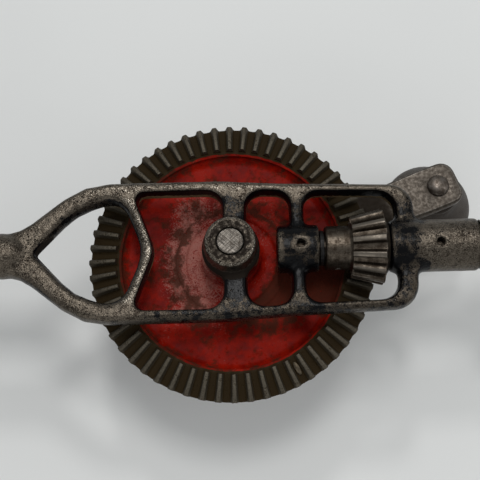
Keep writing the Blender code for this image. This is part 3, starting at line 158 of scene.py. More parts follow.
class Graph:
    """A node tree with short calls for the nodes that the finishes use."""

    def __init__(self, tree: bpy.types.NodeTree) -> None:
        """Wrap the tree that nodes are added to."""
        self.tree = tree

    def put(self, target: bpy.types.NodeSocket, value: object) -> None:
        """Link a wire into an input, or set a number, a vector or a colour on it."""
        if isinstance(value, Wire):
            self.tree.links.new(value.socket, target)
        else:
            target.default_value = (*value, 1.0) if target.type == "RGBA" else value

    def node(self, kind: str, inputs: dict | None = None, **settings: object) -> bpy.types.Node:
        """Add a node.

        Args:
            kind: the node's type name.
            inputs: numbers, colours or wires for its inputs, by name or index.
            settings: properties of the node.

        Returns:
            The new node.
        """
        made = self.tree.nodes.new(kind)
        for name, value in settings.items():
            setattr(made, name, value)
        for key, value in (inputs or {}).items():
            self.put(made.inputs[key], value)
        return made

    def wires(self, kind: str, inputs: dict | None = None, **settings: object) -> list[Wire]:
        """Add a node and return all its outputs."""
        return [Wire(self, socket) for socket in self.node(kind, inputs, **settings).outputs]

    def wire(self, kind: str, inputs: dict | None = None, output: int = 0, **settings: object) -> Wire:
        """Add a node and return one of its outputs."""
        return self.wires(kind, inputs, **settings)[output]

    def math(self, operation: str, first: object, second: object = 0.0) -> Wire:
        """Return the result of a Math node on one or two values."""
        return self.wire("ShaderNodeMath", {0: first, 1: second}, operation=operation)

    def mix(self, share: object, first: object, second: object) -> Wire:
        """Return a mix of two colours."""
        return self.wire("ShaderNodeMix", {0: share, 6: first, 7: second}, 2, data_type="RGBA")

    def blend(self, share: object, first: object, second: object) -> Wire:
        """Return a mix of two values."""
        return self.wire("ShaderNodeMix", {0: share, 2: first, 3: second})

    def noise(self, vector: Wire, scale: object, detail: float = 3.0, rough: float = 0.55) -> Wire:
        """Return a fractal noise value between 0 and 1."""
        inputs = {"Vector": vector, "Scale": scale, "Detail": detail, "Roughness": rough}
        return self.wire("ShaderNodeTexNoise", inputs)

    def scaled(self, vector: Wire, scale: Triple, turn: float = 0.0) -> Wire:
        """Return a vector turned about the vertical and then stretched."""
        turned = self.wire("ShaderNodeMapping", {"Vector": vector, "Rotation": (0.0, 0.0, turn)})
        return self.wire("ShaderNodeMapping", {"Vector": turned, "Scale": scale})

    def place(self) -> Wire:
        """Return the point's Object coordinates."""
        return Wire(self, self.node("ShaderNodeTexCoord").outputs["Object"])

    def attribute(self, name: str) -> Wire:
        """Return a value that the piece's mesh holds."""
        return Wire(self, self.node("ShaderNodeAttribute", attribute_name=name).outputs["Fac"])

    def axes(self, vector: Wire) -> list[Wire]:
        """Return the three parts of a vector."""
        return self.wires("ShaderNodeSeparateXYZ", {0: vector})

    def radius(self, parts: Sequence[Wire]) -> Wire:
        """Return the distance from the gear's axle of a point given by its parts."""
        return self.math("SQRT", parts[0] * parts[0] + parts[1] * parts[1])

    def group(self, tree: bpy.types.NodeTree, **inputs: object) -> list[Wire]:
        """Place a node group and return its outputs."""
        return self.wires("ShaderNodeGroup", inputs, node_tree=tree)

    def bump(self, height: Wire, depth: float) -> Wire:
        """Return a normal for a surface raised by a height times a depth in metres."""
        return self.wire("ShaderNodeBump", {"Height": height, "Distance": depth, "Strength": 1.0})


def effect(name: str, inputs: dict[str, float | None], outputs: Sequence[str],
           fill: Callable[..., Sequence[Wire]]) -> bpy.types.NodeTree:
    """Build a node group once.

    Args:
        name: the effect's name.
        inputs: the default of each input, a number or None for a vector.
        outputs: the names of its values.
        fill: takes the graph and a wire for each input, and returns one for each output.

    Returns:
        The node group.
    """
    tree = bpy.data.node_groups.new(name, "ShaderNodeTree")
    for label, default in inputs.items():
        kind = "NodeSocketVector" if default is None else "NodeSocketFloat"
        made = tree.interface.new_socket(label, in_out="INPUT", socket_type=kind)
        if default is not None:
            made.default_value = default
    for label in outputs:
        tree.interface.new_socket(label, in_out="OUTPUT", socket_type="NodeSocketFloat")
    graph = Graph(tree)
    ends = graph.node("NodeGroupOutput")
    given = graph.wires("NodeGroupInput")[:len(inputs)]
    for target, value in zip(ends.inputs, fill(graph, *given)):
        graph.put(target, value)
    return tree


class Effects:
    """The effects that more than one finish uses."""

    def __init__(self) -> None:
        """Build every group."""
        self.mottle = effect("mottle", {"vector": None, "scale": 1.0},
                             ("patches", "blotches", "grain"), self._mottle)
        self.pits = effect("pits", {"vector": None, "scale": 1.0, "depth": 1.0},
                           ("height", "hollows"), self._pits)
        self.scratches = effect("scratches", {"vector": None, "scale": 1.0, "amount": 0.5},
                                ("lines",), self._scratches)
        self.rings = effect("turning_rings", {"along": 0.0, "scale": 1.0}, ("ridges",), self._rings)
        self.wood = effect("wood_grain", {"vector": None, "width": 1.0},
                           ("figure", "fibre", "pores"), self._wood)
        self.grime_and_shade = effect("grime_and_shade", {"vector": None, "amount": 0.5, "scale": 1.0}, ("cover",),
                            self._grime)

    @staticmethod
    def _mottle(graph: Graph, vector: Wire, scale: Wire) -> list[Wire]:
        """Uneven tone at three sizes: broad patches, blotches and a fine grain."""
        sizes = ((110.0, 3.0), (420.0, 4.0), (2500.0, 3.0))
        return [graph.noise(vector, scale * size, detail) for size, detail in sizes]

    @staticmethod
    def _pits(graph: Graph, vector: Wire, scale: Wire, depth: Wire) -> list[Wire]:
        """Scattered round pits over a fine rough skin, as a height and a mask of the pits."""
        cell = graph.wire("ShaderNodeTexVoronoi", {"Vector": vector, "Scale": scale * 1100.0})
        spread = graph.noise(vector, scale * 300.0, 2.0)
        hollow = (1.0 - cell.step(0.10, 0.42)) * spread.step(0.46, 0.62)
        skin = graph.noise(vector, scale * 2600.0, 2.0)
        lumps = graph.noise(vector, scale * 480.0)
        return [(skin * 0.35 + lumps - hollow * 0.8) * depth, hollow]

    @staticmethod
    def _scratches(graph: Graph, vector: Wire, scale: Wire, amount: Wire) -> list[Wire]:
        """Thin straight lines in two crossing directions."""
        stretched = [graph.scaled(vector, (60.0, 2600.0, 400.0), turn) for turn in (0.72, -0.78)]
        lines = [graph.noise(across, scale, 2.0, 0.7).step(0.50, 0.61) for across in stretched]
        return [graph.math("MAXIMUM", *lines) * amount]

    @staticmethod
    def _rings(graph: Graph, along: Wire, scale: Wire) -> list[Wire]:
        """Fine ridges that a turning tool leaves, from a distance along or across the piece."""
        line = graph.wire("ShaderNodeCombineXYZ", {0: along * 1000.0})
        return [graph.noise(line, scale, 3.0, 0.7)]

    @staticmethod
    def _wood(graph: Graph, vector: Wire, width: Wire) -> list[Wire]:
        """Growth figure, long fibres and dark pores, for wood whose grain runs along X."""
        bent = graph.noise(graph.scaled(vector, (9.0, 60.0, 60.0)), 1.0, 2.0)
        _, across, up = graph.axes(vector)
        rings = (up + across * 0.45) / width + bent * 3.4
        figure = graph.math("SINE", rings * 6.283) * 0.5 + 0.5
        fibre = graph.noise(graph.scaled(vector, (70.0, 2400.0, 2400.0)), 1.0)
        pores = graph.noise(graph.scaled(vector, (160.0, 3600.0, 3600.0)), 1.0, 1.0)
        return [figure, fibre, pores.step(0.60, 0.70)]

    @staticmethod
    def _grime(graph: Graph, vector: Wire, amount: Wire, scale: Wire) -> list[Wire]:
        """Dried grease and dust, and on the gear disc a painted shadow, that lie in torn patches."""
        broad = graph.noise(vector, scale * 260.0, 4.0, 0.65)
        return [(amount * 1.3 + (broad - 0.85)).step(0.0, 0.22)]


# Finishes

class Finish:
    """What every finish shares: a material with one shader."""

    name = "finish"

    def build(self, effects: Effects) -> bpy.types.Material:
        """Make the material.

        Args:
            effects: the node groups that finishes share.

        Returns:
            The finished material.
        """
        made = bpy.data.materials.new(self.name)
        made.use_nodes = True
        shader = made.node_tree.nodes["Principled BSDF"]
        graph = Graph(made.node_tree)
        for key, value in self.dress(graph, effects).items():
            graph.put(shader.inputs[key], value)
        return made

    def dress(self, graph: Graph, effects: Effects) -> dict[str, object]:
        """Return what the shader's inputs take; each finish has its own."""
        raise NotImplementedError


@dataclass(frozen=True)
class CastIron(Finish):
    """The frame: worn grey iron, black enamel where hands and rags don't reach, and dried grease."""

    name: str = "cast_iron_with_worn_enamel"
    dark: Triple = (0.017, 0.0125, 0.009)
    middle: Triple = (0.130, 0.109, 0.085)
    bright: Triple = (0.520, 0.470, 0.395)
    enamel: Triple = (0.0018, 0.0018, 0.0022)
    grease: Triple = (0.150, 0.104, 0.050)
    soot: Triple = (0.014, 0.010, 0.007)
    specular: float = 0.11
    depth: float = 0.00032

    def dress(self, graph: Graph, effects: Effects) -> dict[str, object]:
        """Layer iron, polish on the ridges with a painted highlight along the top rail, enamel, soot and
        grease by the mesh's own masks.
        """
        place = graph.place()
        patches, blotches, grain = graph.group(effects.mottle, vector=place, scale=1.0)
        height, hollows = graph.group(effects.pits, vector=place, scale=1.0, depth=1.0)
        tone = blotches * 0.5 + grain + patches * 0.3
        iron = graph.mix(tone.step(0.68, 1.04), self.dark, self.middle)
        # Polish, with the painted highlight line along the top rail that the wear mask carries.
        polish_and_highlight = (graph.attribute("wear_and_highlight") + grain.stray(3.0)).step(0.42, 1.30)
        iron = graph.mix(polish_and_highlight, iron, self.bright)
        iron = graph.mix(hollows * 0.8, iron, self.dark)
        torn = patches.stray(1.3) + blotches.stray(1.6) + grain.stray(1.6)
        enamel = (graph.attribute("enamel") + torn).step(0.44, 0.56)
        soot, = graph.group(effects.grime_and_shade, vector=place, amount=graph.attribute("soot"), scale=2.0)
        grease, = graph.group(effects.grime_and_shade, vector=place, amount=graph.attribute("grease"), scale=3.2)
        colour = graph.mix(enamel, iron, self.enamel)
        colour = graph.mix(grease, graph.mix(soot, colour, self.soot), self.grease)
        dull = graph.math("MAXIMUM", soot, grease)
        bare = (1.0 - enamel) * (1.0 - dull)
        rough = graph.blend(polish_and_highlight, graph.blend(grain, 0.24, 0.48), 0.25)
        rough = graph.blend(enamel, rough, graph.blend(blotches, 0.10, 0.34))
        raised = height * graph.blend(enamel, 1.0, 0.45) + enamel * 0.25
        return {"Base Color": colour, "Metallic": bare * 0.92, "Roughness": graph.blend(dull, rough, 0.85),
                "Specular IOR Level": self.specular, "Normal": graph.bump(raised, self.depth)}


@dataclass(frozen=True)
class GearCasting(Finish):
    """The drive gear: red enamel on the disc, scuffed about the hub with a painted sheen to its left, a
    painted frame shadow on its lower right, and brown bare iron teeth.
    """

    name: str = "red_enamel_and_bare_teeth"
    red: Triple = (0.262, 0.0070, 0.0014)
    deep_red: Triple = (0.130, 0.0030, 0.0010)
    # Pale scuffs about the hub, partly a painted sheen, strongest to the left of the hub.
    scuff_and_sheen: Triple = (0.330, 0.135, 0.108)
    # Stains, and the painted shadow that the frame throws on the disc's lower right, share this colour.
    stain_and_shadow: Triple = (0.042, 0.015, 0.008)
    gullet: Triple = (0.025, 0.016, 0.0065)
    tooth: Triple = (0.062, 0.051, 0.036)
    tip: Triple = (0.135, 0.120, 0.095)
    scuff_and_sheen_ring: Span = (0.0215, 0.0345)
    sheen_side: Span = (-0.0140, 0.0060)
    specular: float = 0.05
    depth: float = 0.00016

    def dress(self, graph: Graph, effects: Effects) -> dict[str, object]:
        """Paint the disc by its radius and the teeth by their height."""
        place = graph.place()
        parts = graph.axes(place)
        patches, blotches, grain = graph.group(effects.mottle, vector=place, scale=0.8)
        height, hollows = graph.group(effects.pits, vector=place, scale=0.8, depth=1.0)
        red = graph.mix((patches * 0.6 + blotches * 0.4).step(0.36, 0.62), self.deep_red, self.red)
        # Scuffs about the hub, weighted to its left as a painted sheen.
        left = 1.0 - parts[0].step(*self.sheen_side)
        near = (1.0 - graph.radius(parts).step(*self.scuff_and_sheen_ring)) * graph.blend(left, 0.10, 0.50)
        rubbed = near + grain + patches.stray(0.9)
        red = graph.mix(rubbed.step(0.68, 1.06) * 0.85, red, self.scuff_and_sheen)
        # The stain mask also carries the painted frame shadow on the disc's lower right.
        stained, = graph.group(effects.grime_and_shade, vector=place, amount=graph.attribute("stain_and_shadow"), scale=0.9)
        red = graph.mix(stained * 0.85, red, self.stain_and_shadow)
        red = graph.mix(graph.noise(place, 900.0, 1.0).step(0.70, 0.76), red, self.deep_red)
        worn = graph.attribute("tooth") + grain.stray(0.7)
        iron = graph.mix(worn.step(0.10, 0.62), self.gullet, self.tooth)
        iron = graph.mix(worn.step(0.80, 1.25) * 0.9, iron, self.tip)
        iron = graph.mix(hollows * 0.7, iron, self.gullet)
        bare = (graph.attribute("bare") + blotches.stray(0.8)).step(0.42, 0.60)
        rough = graph.blend(bare, graph.blend(blotches, 0.30, 0.62), graph.blend(grain, 0.42, 0.70))
        rough = graph.blend(stained * (1.0 - bare), rough, 0.75)
        return {"Base Color": graph.mix(bare, red, iron), "Roughness": rough,
                "Metallic": worn.step(0.20, 0.75) * bare * 0.85,
                "Specular IOR Level": self.specular, "Normal": graph.bump(height, self.depth)}


@dataclass(frozen=True)
class TurnedSteel(Finish):
    """Steel with turning marks, tarnish in blotches and rubbed edges, with a painted highlight on tooth tips
    and, where a reach is set, a painted shade towards the axle.
    """

    name: str = "turned_steel"
    metal: Triple = (0.26, 0.245, 0.22)
    tarnish: Triple = (0.085, 0.070, 0.055)
    tarnish_level: float = 0.50
    tarnish_edge: float = 0.12
    metallic: float = 1.0
    smooth: float = 0.26
    rough: float = 0.55
    axis: Axis = Axis.ALONG
    ring_scale: float = 2.6
    scratch: float = 0.0
    depth: float = 0.00006
    detail: float = 1.0
    rubbed: Triple = (0.34, 0.30, 0.25)
    # Painted shade: the colour below darkens the piece within a reach of the axle, as shade from the gear and
    # frame.
    grime_and_shade: Triple = (0.020, 0.015, 0.011)
    shade_reach: float = 0.0
    shade_fade: float = 0.0070

    def dress(self, graph: Graph, effects: Effects) -> dict[str, object]:
        """Mix metal and tarnish, and lay rings and scratches over them."""
        place = graph.place()
        parts = graph.axes(place)
        _, blotches, grain = graph.group(effects.mottle, vector=place, scale=self.detail)
        ridges, = graph.group(effects.rings, along=parts[self.axis.value], scale=self.ring_scale)
        height, hollows = graph.group(effects.pits, vector=place, scale=1.2, depth=0.6)
        lines, = graph.group(effects.scratches, vector=place, scale=1.0, amount=self.scratch)
        level = blotches * 0.65 + grain * 0.35 + ridges.stray(0.25)
        middle = 1.0 - self.tarnish_level
        stained = level.step(middle - self.tarnish_edge, middle + self.tarnish_edge)
        colour = graph.mix(stained, self.metal, self.tarnish)
        colour = graph.mix(lines * 0.9, colour, self.tarnish)
        colour = graph.mix(hollows * 0.6, colour, self.tarnish)
        # Tooth tips rubbed bright, and brighter still as a painted highlight line on the pinion's teeth.
        colour = graph.mix(graph.attribute("tooth").step(0.85, 1.0) * 0.30, colour, self.rubbed)
        rough = graph.blend(stained, self.smooth, self.rough)
        # Painted shade on the crank near the axle, where the gear and frame shade it; rougher there too.
        if self.shade_reach:
            unshaded = graph.radius(parts).step(self.shade_reach, self.shade_reach + self.shade_fade)
            colour = graph.mix((1.0 - unshaded) * 0.85, colour, self.grime_and_shade)
            rough = graph.blend(unshaded, 0.75, rough)
        raised = ridges * 0.7 + height - lines * 0.9
        return {"Base Color": colour, "Metallic": self.metallic, "Roughness": rough,
                "Normal": graph.bump(raised, self.depth)}


@dataclass(frozen=True)
class OiledWood(Finish):
    """Hard wood, dark with oil and handling, with its grain along X or, turned, along Z."""

    name: str = "handle_wood"
    shine: float = 0.25
    specular: float = 0.50
    light: Triple = (0.185, 0.078, 0.032)
    dark: Triple = (0.062, 0.023, 0.011)
    pore: Triple = (0.018, 0.008, 0.005)
    dirt: Triple = (0.040, 0.028, 0.020)
    dirt_level: float = 0.42
    width: float = 0.0052
    upright: bool = False
    depth: float = 0.00008

    def dress(self, graph: Graph, effects: Effects) -> dict[str, object]:
        """Lay figure, fibres, pores and hand dirt."""
        place = lying = graph.place()
        if self.upright:
            lying = graph.wire("ShaderNodeMapping", {"Vector": place, "Rotation": (0.0, pi / 2.0, 0.0)})
        figure, fibre, pores = graph.group(effects.wood, vector=lying, width=self.width)
        colour = graph.mix((figure * 0.55 + fibre * 0.75).step(0.30, 1.0), self.light, self.dark)
        colour = graph.mix(pores * 0.8, colour, self.pore)
        dirt, = graph.group(effects.grime_and_shade, vector=place, amount=self.dirt_level, scale=0.35)
        return {"Base Color": graph.mix(dirt * 0.6, colour, self.dirt),
                "Roughness": graph.blend(graph.noise(place, 160.0), 0.28, 0.58),
                "Coat Weight": self.shine, "Coat Roughness": 0.25, "Specular IOR Level": self.specular,
                "Normal": graph.bump(fibre * 0.5 - pores, self.depth)}


@dataclass(frozen=True)
class Grease(Finish):
    """A dried lump of grease and dust."""

    name: str = "dried_grease"
    light: Triple = (0.150, 0.115, 0.070)
    dark: Triple = (0.055, 0.040, 0.022)

    def dress(self, graph: Graph, effects: Effects) -> dict[str, object]:
        """Crumbly tan, rough all over."""
        _, blotches, grain = graph.group(effects.mottle, vector=graph.place(), scale=1.6)
        return {"Base Color": graph.mix(blotches.step(0.35, 0.65), self.dark, self.light),
                "Roughness": 0.85, "Normal": graph.bump(grain + blotches, 0.0003)}


@dataclass(frozen=True)
class Paper(Finish):
    """The pale surface under the drill."""

    name: str = "pale_floor"
    colour: Triple = (0.760, 0.762, 0.745)
    faint: float = 0.975

    def dress(self, graph: Graph, effects: Effects) -> dict[str, object]:
        """Almost even, with a faint cloud in its tone."""
        cloud = graph.noise(graph.place(), 6.0).step(0.3, 0.7)
        soft = tuple(part * self.faint for part in self.colour)
        return {"Base Color": graph.mix(cloud, self.colour, soft), "Roughness": 0.6,
                "Specular IOR Level": 0.2}


class Finishes:
    """Every finish of the drill, built once."""

    def __init__(self) -> None:
        """Build the shared effects and then each material."""
        effects = Effects()
        self.iron = CastIron().build(effects)
        self.gear = GearCasting().build(effects)
        self.axle = TurnedSteel("axle_end_steel", (0.205, 0.184, 0.160), (0.060, 0.050, 0.040), 0.44,
                                axis=Axis.UP, scratch=0.9, depth=0.00010, smooth=0.42).build(effects)
        self.bright = TurnedSteel("bright_steel", (0.44, 0.42, 0.39), (0.18, 0.16, 0.14),
                                  0.40).build(effects)
        self.worn = TurnedSteel("worn_steel").build(effects)
        self.worn_upright = TurnedSteel("worn_steel_upright", axis=Axis.UP).build(effects)
        self.black = TurnedSteel("blackened_steel", (0.022, 0.021, 0.021), (0.010, 0.009, 0.008),
                                 metallic=0.8, smooth=0.42).build(effects)
        self.pinion = TurnedSteel("pinion_steel", (0.098, 0.080, 0.062), (0.034, 0.025, 0.018),
                                  smooth=0.34, rough=0.50, depth=0.00008).build(effects)
        # The crank's two finishes paint shade on the plate near the axle.
        self.crank = TurnedSteel("crank_steel", (0.128, 0.110, 0.092), (0.064, 0.053, 0.043),
                                 axis=Axis.UP, ring_scale=0.2, depth=0.00012, smooth=0.38, detail=1.7,
                                 shade_reach=0.0640).build(effects)
        self.crank_edge = TurnedSteel("crank_edge_steel", (0.300, 0.270, 0.235), (0.110, 0.092, 0.076),
                                      axis=Axis.UP, ring_scale=0.2, detail=1.7,
                                      shade_reach=0.0640).build(effects)
        self.rivet = TurnedSteel("rivet_steel", (0.200, 0.172, 0.148), (0.080, 0.063, 0.050),
                                 axis=Axis.UP, smooth=0.28, depth=0.00008).build(effects)
        self.handle = OiledWood().build(effects)
        self.knob = OiledWood("knob_wood", 0.0, 0.16, (0.054, 0.042, 0.033), (0.040, 0.030, 0.023),
                              dirt=(0.038, 0.030, 0.024), width=0.0036, upright=True).build(effects)
        self.grease = Grease().build(effects)
        self.floor = Paper().build(effects)


# Modelling helpers

def cad_box(node: str) -> tuple[Vector, Vector]:
    """Return a CAD node's lowest and highest corners."""
    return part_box(node)


AXES_Z = sum(corner.z for corner in cad_box("spindle")) / 2.0
SPINDLE_AXIS = (0.0, 0.0, AXES_Z)


def quarter(start: Span, end: Span, steps: int) -> Profile:
    """Return the points of a quarter round that leaves its start along the axis.

    Args:
        start: its first point, as (along, radius).
        end: its last point, where it runs across the axis.
        steps: how many sides it has.

    Returns:
        The points, with both ends.
    """
    turns = [pi / 2.0 * step / steps for step in range(steps + 1)]
    return [(start[0] + (end[0] - start[0]) * sin(turn), end[1] + (start[1] - end[1]) * cos(turn))
            for turn in turns]


def eased(start: Span, end: Span, steps: int) -> Profile:
    """Return points that ease from one (along, radius) to another, without the last."""
    shares = [step / steps for step in range(steps)]
    return [(start[0] + (end[0] - start[0]) * share,
             start[1] + (end[1] - start[1]) * share * share * (3.0 - 2.0 * share)) for share in shares]


def rounded_profile(profile: Profile, radius: float, closed: bool, least: float = radians(14.0)) -> Profile:
    """Ease each corner of a profile.

    Args:
        profile: its corners.
        radius: how far from a corner the easing starts, at most.
        closed: whether its last point joins its first.
        least: the smallest turn that is eased.

    Returns:
        The profile with three short sides in place of each corner.
    """
    made = []
    count = len(profile)
    for index, corner in enumerate(profile):
        here = Vector(corner)
        back = Vector(profile[index - 1]) - here
        ahead = Vector(profile[(index + 1) % count]) - here
        if (not closed and index in (0, count - 1)) or pi - back.angle(ahead) < least:
            made.append(tuple(here))
            continue
        start = here + back.normalized() * min(radius, SIDE_SHARE * back.length)
        end = here + ahead.normalized() * min(radius, SIDE_SHARE * ahead.length)
        for share in (0.0, 1.0 / 3.0, 2.0 / 3.0, 1.0):
            point = start * (1.0 - share) ** 2 + here * (2.0 * share * (1.0 - share)) + end * share ** 2
            made.append(tuple(point))
    return made


def turned(profile: Profile, steps: int, closed: bool = False) -> Shape:
    """Spin a profile of (along, radius) about the X axis.

    Args:
        profile: its points; an open one starts and ends on the axis.
        steps: how many sides the round piece has.
        closed: whether its last point joins its first, as on a ring.

    Returns:
        The closed shape.
    """
    shape = bmesh.new()
    points = [shape.verts.new((along, 0.0, radius)) for along, radius in profile]
    ends = points[1:] + points[:1] if closed else points[1:]
    edges = [shape.edges.new(pair) for pair in zip(points, ends)]
    bmesh.ops.spin(shape, geom=points + edges, cent=ORIGIN, axis=(1.0, 0.0, 0.0), dvec=ORIGIN,
                   angle=2.0 * pi, steps=steps, use_merge=True)
    bmesh.ops.remove_doubles(shape, verts=shape.verts, dist=WELD)
    bmesh.ops.recalc_face_normals(shape, faces=shape.faces)
    return shape


def posed(shape: Shape, place: Triple, angle: float = 0.0, axis: str = "Y") -> Shape:
    """Turn a shape about one of the part's axes and then move it.

    Args:
        shape: the shape.
        place: where the shape's origin goes.
        angle: how far it turns; UPRIGHT about Y stands +X up.
        axis: the axis it turns about.

    Returns:
        The same shape.
    """
    bmesh.ops.rotate(shape, verts=shape.verts, cent=ORIGIN, matrix=Matrix.Rotation(angle, 3, axis))
    bmesh.ops.translate(shape, verts=shape.verts, vec=place)
    return shape


def linked(name: str, data: bpy.types.ID) -> bpy.types.Object:
    """Return a new object that is in the scene."""
    made = bpy.data.objects.new(name, data)
    bpy.context.scene.collection.objects.link(made)
    return made


def meshed(name: str, shape: Shape) -> bpy.types.Mesh:
    """Return a shape as a mesh, and free the shape."""
    mesh = bpy.data.meshes.new(name)
    shape.to_mesh(mesh)
    shape.free()
    return mesh


def cad_copy(node: str) -> Shape:
    """Return a merged copy of a CAD node's loose triangles."""
    shape = bmesh.new()
    shape.from_mesh(FRAME["nodes"][node].data)
    bmesh.ops.remove_doubles(shape, verts=shape.verts, dist=CAD_WELD)
    return shape


def softened(shape: Shape, width: float, angle: float) -> Shape:
    """Bevel a shape's sharp edges.

    Args:
        shape: a closed shape.
        width: the bevel's width.
        angle: the least turn between two faces that counts as sharp.

    Returns:
        The same shape.
    """
    bmesh.ops.join_triangles(shape, faces=shape.faces, angle_face_threshold=radians(1.0),
                             angle_shape_threshold=radians(40.0))
    sharp = [edge for edge in shape.edges if edge.is_manifold and edge.calc_face_angle(0.0) > angle]
    bmesh.ops.bevel(shape, geom=sharp, offset=width, offset_type="OFFSET", segments=2, profile=0.5,
                    affect="EDGES", material=-1, clamp_overlap=True)
    return shape


def add_piece(name: str, shape: Shape, look: bpy.types.Material, body: Body,
              replaced: Sequence[str] = (), smooth: float = 35.0) -> bpy.types.Object:
    """Make a piece from a shape and hang it on its body.

    Args:
        name: the piece's name.
        shape: its geometry in the part's frame, freed here.
        look: its material.
        body: the body that carries it.
        replaced: the CAD nodes it stands for.
        smooth: edges that turn by more than this many degrees stay sharp.

    Returns:
        The new object.
    """
    mesh = meshed(name, shape)
    mesh.shade_smooth()
    mesh.set_sharp_from_angle(angle=radians(smooth))
    mesh.materials.append(look)
    piece = linked(name, mesh)
    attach(piece, body.value)
    if replaced:
        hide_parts(*replaced)
    LOG.info("%s: %d faces on %s", name, len(mesh.polygons), body.value)
    return piece


def redress(look: bpy.types.Material, *nodes: str) -> None:
    """Give CAD nodes that stay in sight their finish."""
    for node in nodes:
        mesh = FRAME["nodes"][node].data
        mesh.materials.clear()
        mesh.materials.append(look)
        LOG.info("%s keeps its solid", node)


def ramp(values: np.ndarray, low: float, high: float) -> np.ndarray:
    """Return 0 below low, 1 above high and a smooth rise between, also where low is the larger."""
    share = np.clip((values - low) / (high - low), 0.0, 1.0)
    return share * share * (3.0 - 2.0 * share)


def band(values: np.ndarray, start: float, first: float, last: float, end: float) -> np.ndarray:
    """Return 1 from first to last, with a smooth fall to 0 at start and at end."""
    return ramp(values, start, first) * ramp(values, end, last)


def most(*layers: np.ndarray) -> np.ndarray:
    """Return the largest of several layers at each point."""
    return np.maximum.reduce(layers)


def risen(value: float, low: float, width: float) -> float:
    """Return how far a value has risen over a width above low, between 0 and 1."""
    return min(1.0, max(0.0, (value - low) / width))


# Frame

class Skin:
    """The casting's points as its masks read them: where they are, how they face and stand out."""

    def __init__(self, points: np.ndarray, normals: np.ndarray, ridge: np.ndarray) -> None:
        """Take points, their normals and how far each stands out of its neighbours."""
        self.x, self.y, self.z = points[:, 0], points[:, 1], points[:, 2] - AXES_Z
        self.across = np.abs(self.y)
        self.radius = np.hypot(self.x, self.y)
        self.facing = normals[:, 2]
        self.side = np.abs(normals[:, 1])
        self.outward = self.y * normals[:, 1]
        self.ridge = ridge


